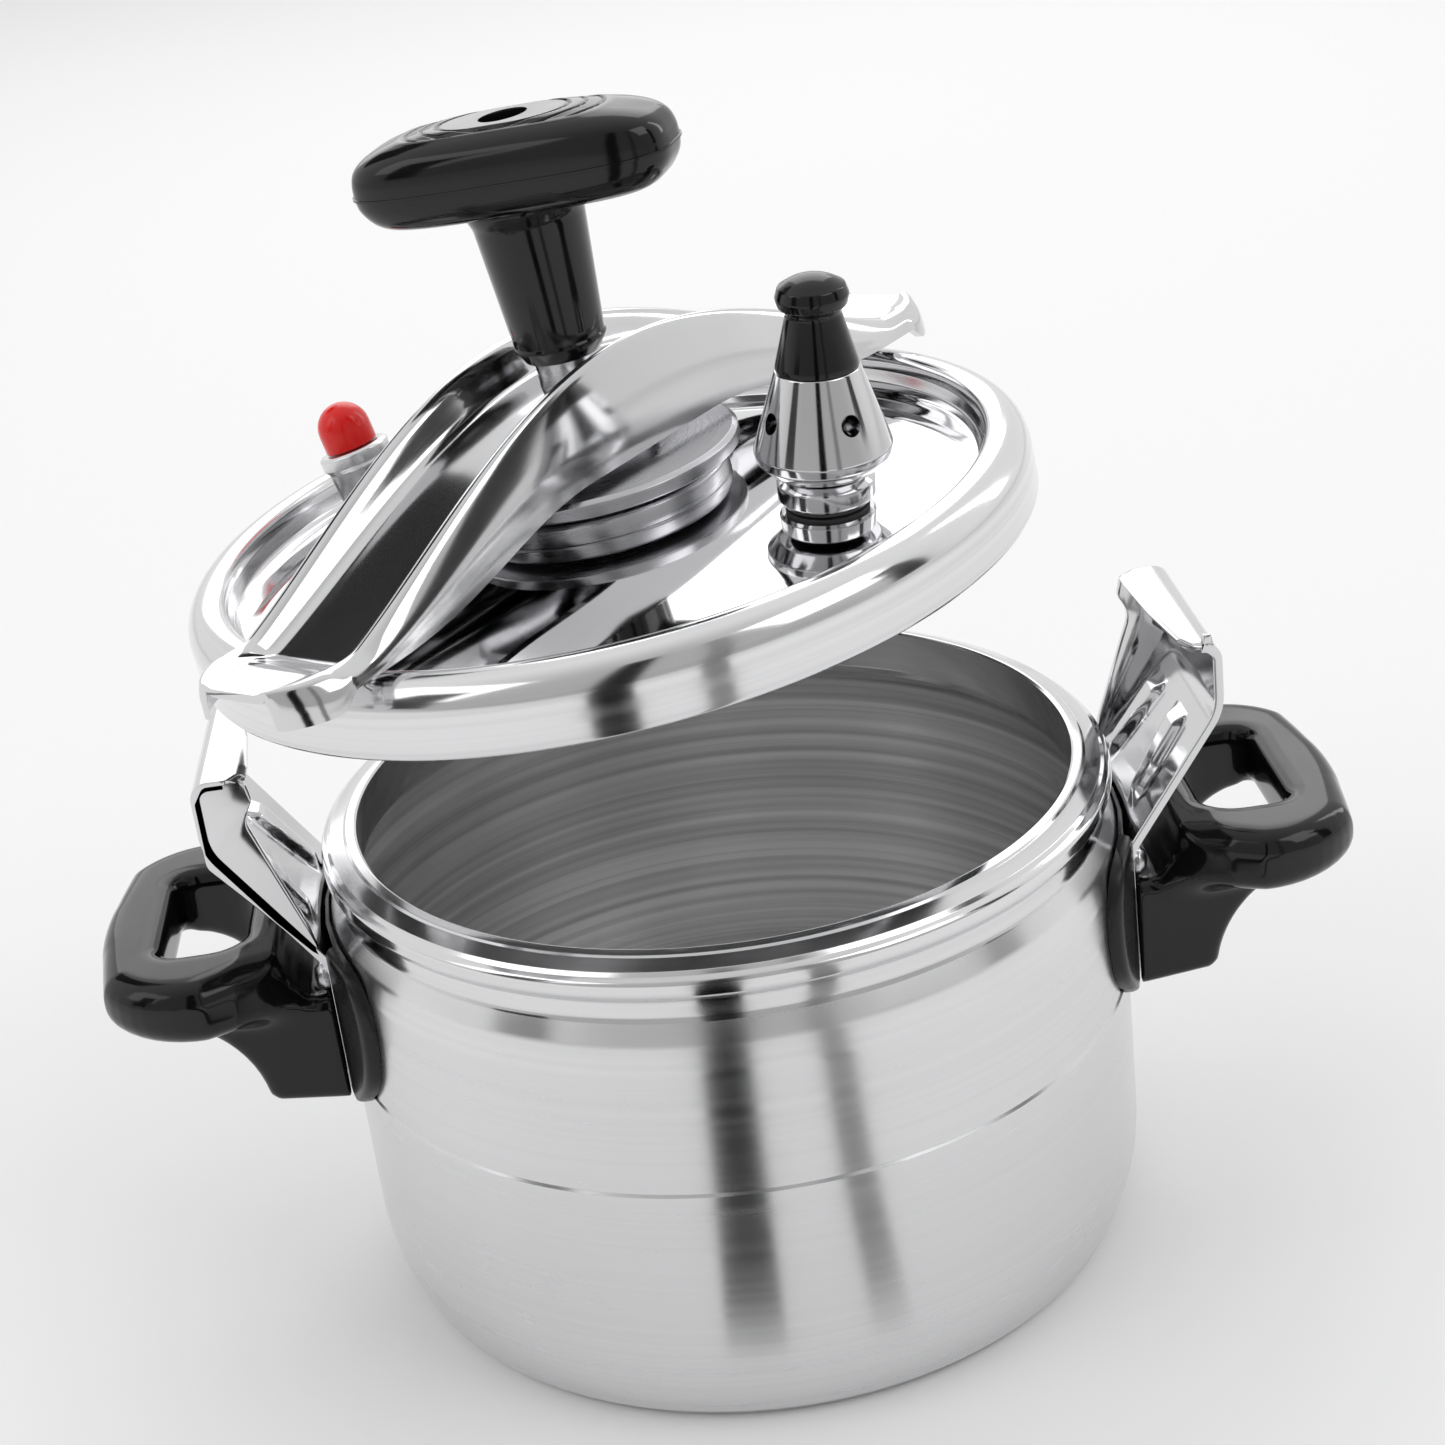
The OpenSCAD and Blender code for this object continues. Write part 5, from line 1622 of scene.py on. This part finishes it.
@dataclass
class Knob:
    """The moulded T knob: a crowned bar with engraved rings, on a tapered stem."""

    azimuth: float = -20.0
    half_l: float = 38.0
    half_w: float = 16.0
    thick: float = 20.0
    top: float = 97.5
    stem_r: float = 11.2
    stem_low: float = 42.0
    bore: float = 7.0
    hole_r: float = 5.6
    neck_r: float = 10.0
    groove: float = 0.55
    groove_rings: tuple[float, ...] = (12.0, 15.0, 18.0)

    def plan(self, inset_l: float, inset_w: float, angles: np.ndarray, power: float) -> np.ndarray:
        """The bar's outline drawn in by the insets."""
        c, s = np.cos(angles), np.sin(angles)
        return np.stack([(self.half_l - inset_l) * np.sign(c) * np.abs(c) ** power,
                         (self.half_w - inset_w) * np.sign(s) * np.abs(s) ** power], 1)

    def bar(self) -> tuple[np.ndarray, list[list[int]]]:
        """The bar as rings from its underside over its sides and crown into the hole.

        Returns:
            Points and faces.
        """
        angles = np.linspace(0, 2 * math.pi, 192, endpoint=False)
        low = self.top - self.thick
        parting = low + self.thick * 0.42
        under = [(13.0, 8.5, low + 0.6), (9.5, 6.0, low), (6.0, 3.4, low + 0.6), (3.2, 1.5, low + 2.4),
                 (1.0, 0.5, low + 5.4), (0.35, 0.3, parting - 0.35)]
        flash = [[0.0, 0.0, parting - 0.25], [0.0, 0.0, parting + 0.25], [0.3, 0.25, parting + 0.35]]
        top = self.top
        over = [(0.35, 0.25, parting + 0.6), (0.6, 0.4, top - 8.5), (1.6, 0.8, top - 6.0),
                (4.0, 1.8, top - 3.9), (8.0, 3.6, top - 2.2), (13.0, 6.0, top - 0.9)]
        levels = [*smooth_line(under, 16), *flash, *smooth_line(over, 22)[1:]]
        rings = []
        for dl, dw, z in levels:
            ring = self.plan(dl, dw, angles, 0.6)
            rings.append(np.column_stack([ring, np.full(len(ring), z)]))
        rim = rings[-1][:, :2]
        hole = np.stack([np.cos(angles), np.sin(angles)], 1) * self.hole_r
        for f in np.linspace(0, 1, 64)[1:]:
            xy = rim * (1 - f) + hole * f
            reach = np.hypot(xy[:, 0] / 1.3, xy[:, 1] / 0.78)
            z = top - 0.9 + 0.88 * smoothstep(f * 2.2)
            for g in self.groove_rings:
                z = z - self.groove * np.clip(1 - np.abs(reach - g) / 0.45, 0, 1) * (f > 0.02)
            rings.append(np.column_stack([xy, np.broadcast_to(z, (len(xy),))]))
        for depth in (0.5, 9.0):
            rings.append(np.column_stack([hole * 0.985, np.full(len(hole), top - depth)]))
        neck = np.stack([np.cos(angles), np.sin(angles)], 1) * self.neck_r
        start = np.column_stack([neck, np.full(len(angles), low + 0.7)])
        return ring_loft(np.array([start, *rings]))

    def build(self) -> None:
        """Builds and dresses the knob."""
        place = LID.turned(self.azimuth)
        black = BAKELITE.material(place)
        bar = piece("t_knob", *self.bar(), place, crease=40.0)
        low, z, r = self.top - self.thick, self.stem_low, self.stem_r
        line = rounded([(self.bore, z), (r - 2.4, z, 0.4), (r - 0.2, z + 3.4, 0.6), (r - 0.6, z + 4.2, 0.3),
                        (r + 1.7, low - 3, 6), (r + 3.6, low + 1.6, 1), (self.bore, low + 1.6)])
        knob = joined(bar, spun("stem", line, black, place, 120))
        keep(knob, "knob", "black_bakelite", "knob_handle", material=black)


# ------------------------------------------------------------------ plain small parts
class SmallParts:
    """The small turned and pressed parts whose own solids stay."""

    def dress(self) -> None:
        """Gives each visible CAD node its finish by its material slot."""
        slots = {s["node"]: s["material_slot"] for s in frame["record"]["subparts"]}
        finishes = {"polished_aluminium": LID_FINISH, "satin_aluminium": WALL_FINISH,
                    "polished_steel": STEEL_FINISH, "machined_steel": EDGE_FINISH, "cast_metal": CAST_FINISH,
                    "black_bakelite": BAKELITE, "black_backing": BACKING, "grey_rubber": RUBBER,
                    "red_silicone": RED_SILICONE}
        made: dict[str, bpy.types.Material] = {}
        for name, node in frame["nodes"].items():
            slot = slots[name]
            if slot not in made:
                made[slot] = finishes[slot].material(LID)
            node.data.materials.clear()
            node.data.materials.append(made[slot])
            if not node.hide_render:
                LOG.info("%s keeps its own solid", name)


# ------------------------------------------------------------------ studio
@dataclass
class Studio:
    """A pale floor, soft lights, dark cards that only reflections see, and the camera."""

    camera_at: tuple[float, float, float] = (-15.34, -585.9, 402.5)
    pan: float = -1.901
    down: float = 24.42
    roll: float = -7.156
    lens: float = 65.81
    front_shade: float = 0.5
    back_shade: float = 0.88

    def card(self, name: str, corners: Sequence[tuple[float, float, float]], shade: float,
             glow: float = 0.0) -> bpy.types.Object:
        """A flat card, corners in metres, that shows only in reflections.

        Args:
            name: The card's name.
            corners: Its corners in metres.
            shade: Its grey, 0 for black.
            glow: Light that it gives off.

        Returns:
            The card.
        """
        mesh = bpy.data.meshes.new(name)
        mesh.from_pydata(corners, [], [list(range(len(corners)))])
        obj = bpy.data.objects.new(name, mesh)
        bpy.context.scene.collection.objects.link(obj)
        material = bpy.data.materials.new(name)
        material.use_nodes = True
        shader = material.node_tree.nodes["Principled BSDF"]
        shader.inputs["Base Color"].default_value = (shade, shade, shade, 1)
        shader.inputs["Roughness"].default_value = 0.9
        shader.inputs["Specular IOR Level"].default_value = 0.0
        if glow:
            shader.inputs["Emission Color"].default_value = (1, 1, 1, 1)
            shader.inputs["Emission Strength"].default_value = glow
        mesh.materials.append(material)
        obj.visible_camera = False
        obj.visible_shadow = False
        obj.visible_diffuse = False
        return obj

    def wall_card(self, name: str, azimuth: float, width: float, distance: float, z0: float, z1: float,
                  shade: float, glow: float = 0.0) -> None:
        """An upright card facing the pot; azimuth is from the camera's side, counter-clockwise from above.

        Args:
            name: The card's name.
            azimuth: Angle from the camera's side, counter-clockwise from above.
            width: Angle that it covers.
            distance: Distance from the axis.
            z0: Lower edge.
            z1: Upper edge.
            shade: Its grey.
            glow: Light that it gives off.
        """
        a0, a1 = (math.radians(azimuth + s * width / 2 - 90) for s in (-1, 1))
        self.card(name, [(distance * math.cos(a), distance * math.sin(a), z)
                         for a, z in ((a0, z0), (a1, z0), (a1, z1), (a0, z1))], shade, glow)

    def floor_card(self, name: str, azimuth: float, width: float, near: float, far: float,
                   shade: float) -> None:
        """A card just above the floor, a wedge from the pot's foot outwards.

        Args:
            name: The card's name.
            azimuth: Angle from the camera's side.
            width: Angle that it covers.
            near: Where it starts.
            far: Where it ends.
            shade: Its grey.
        """
        a0, a1 = (math.radians(azimuth + s * width / 2 - 90) for s in (-1, 1))
        self.card(name, [(d * math.cos(a), d * math.sin(a), 0.0004)
                         for a, d in ((a0, near), (a0, far), (a1, far), (a1, near))], shade)

    def light(self, name: str, at: tuple[float, float, float], size: float, power: float) -> None:
        """A soft square light aimed at the pot.

        Args:
            name: The light's name.
            at: Its place in metres.
            size: Its side in metres.
            power: Its power in watts.
        """
        data = bpy.data.lights.new(name, "AREA")
        data.size = size
        data.energy = power
        obj = bpy.data.objects.new(name, data)
        bpy.context.scene.collection.objects.link(obj)
        obj.location = at
        obj.rotation_euler = (Vector((0, 0, 0.12)) - Vector(at)).to_track_quat("-Z", "Y").to_euler()

    def build(self) -> None:
        """Sets the stage and the camera."""
        scene = bpy.context.scene
        world = bpy.data.worlds.new("studio")
        world.use_nodes = True
        tree = world.node_tree
        ways = tree.nodes.new("ShaderNodeSeparateXYZ")
        tree.links.new(tree.nodes.new("ShaderNodeTexCoord").outputs["Generated"], ways.inputs[0])
        shade = tree.nodes.new("ShaderNodeMapRange")
        shade.interpolation_type = "SMOOTHSTEP"
        for socket, value in zip(list(shade.inputs)[1:5], (-0.75, 0.25, self.front_shade, self.back_shade)):
            socket.default_value = value
        tree.links.new(ways.outputs[1], shade.inputs[0])
        tree.nodes["Background"].inputs[0].default_value = (1.0, 1.0, 1.0, 1.0)
        tree.links.new(shade.outputs[0], tree.nodes["Background"].inputs[1])
        scene.world = world
        scene.view_settings.view_transform = "Standard"
        mesh = bpy.data.meshes.new("floor")
        mesh.from_pydata([(-6, -6, 0), (6, -6, 0), (6, 6, 0), (-6, 6, 0)], [], [(0, 1, 2, 3)])
        floor = bpy.data.objects.new("floor", mesh)
        scene.collection.objects.link(floor)
        plain = bpy.data.materials.new("pale_floor")
        plain.use_nodes = True
        shader = plain.node_tree.nodes["Principled BSDF"]
        shader.inputs["Base Color"].default_value = (0.93, 0.93, 0.93, 1)
        shader.inputs["Roughness"].default_value = 0.8
        shader.inputs["Specular IOR Level"].default_value = 0.1
        mesh.materials.append(plain)
        self.light("key", (1.3, -0.9, 1.7), 1.2, 8.0)
        self.light("fill", (-1.5, -0.6, 1.4), 1.2, 5.0)
        self.light("back", (0.2, 1.8, 1.6), 1.4, 9.0)
        self.wall_card("dark_front", -6.5, 11.0, 1.5, 0.0, 2.2, 0.0)
        self.floor_card("dark_front_floor", -6.5, 11.0, 0.14, 1.5, 0.0)
        self.wall_card("grey_front", 18.5, 7.0, 1.5, 0.0, 2.2, 0.25)
        self.floor_card("grey_front_floor", 18.5, 7.0, 0.14, 1.5, 0.25)
        self.wall_card("dark_back_left", -141.0, 26.0, 1.6, 1.0, 2.0, 0.04)
        self.wall_card("bright_back", 186.0, 46.0, 2.0, 0.55, 1.15, 0.9, 1.1)
        self.wall_card("bright_right", 118.0, 8.0, 1.6, 0.5, 1.9, 0.9, 3.0)
        self.wall_card("dark_left", -62.0, 16.0, 1.6, 0.3, 1.6, 0.05)
        self.wall_card("dark_right", 74.0, 12.0, 1.6, 0.3, 1.6, 0.05)
        data = bpy.data.cameras.new("camera")
        data.lens = self.lens
        data.sensor_width = 36.0
        data.clip_start = 0.01
        camera = bpy.data.objects.new("camera", data)
        scene.collection.objects.link(camera)
        camera.matrix_world = (Matrix.Translation(Vector(self.camera_at) * MM)
                               @ Matrix.Rotation(math.radians(self.pan), 4, "Z")
                               @ Matrix.Rotation(math.radians(90 - self.down), 4, "X")
                               @ Matrix.Rotation(math.radians(self.roll), 4, "Z"))
        scene.camera = camera


def main() -> None:
    """Builds every sub-assembly, dresses it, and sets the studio."""
    logging.basicConfig(level=logging.INFO, format="%(name)s: %(message)s")
    Pot().build()
    for side, half_turn in (("right", 0.0), ("left", 180.0)):
        Ear().build(f"{side}_hooked_ear", f"{side}_ear", half_turn)
        Handle().build(f"{side}_loop_handle", f"{side}_handle", half_turn)
        Pad().build(f"{side}_backing_pad", f"{side}_pad", half_turn)
    PotFixings().build()
    lid = Lid()
    lid.build()
    Regulator(lid.on_dome(59.4, -32.6)).build()
    FloatValve(lid.on_dome(74.0, 140.0)).build()
    TurningDisc().build()
    Beam().build()
    Knob().build()
    SmallParts().dress()
    Studio().build()


if __name__ == "__main__":
    main()
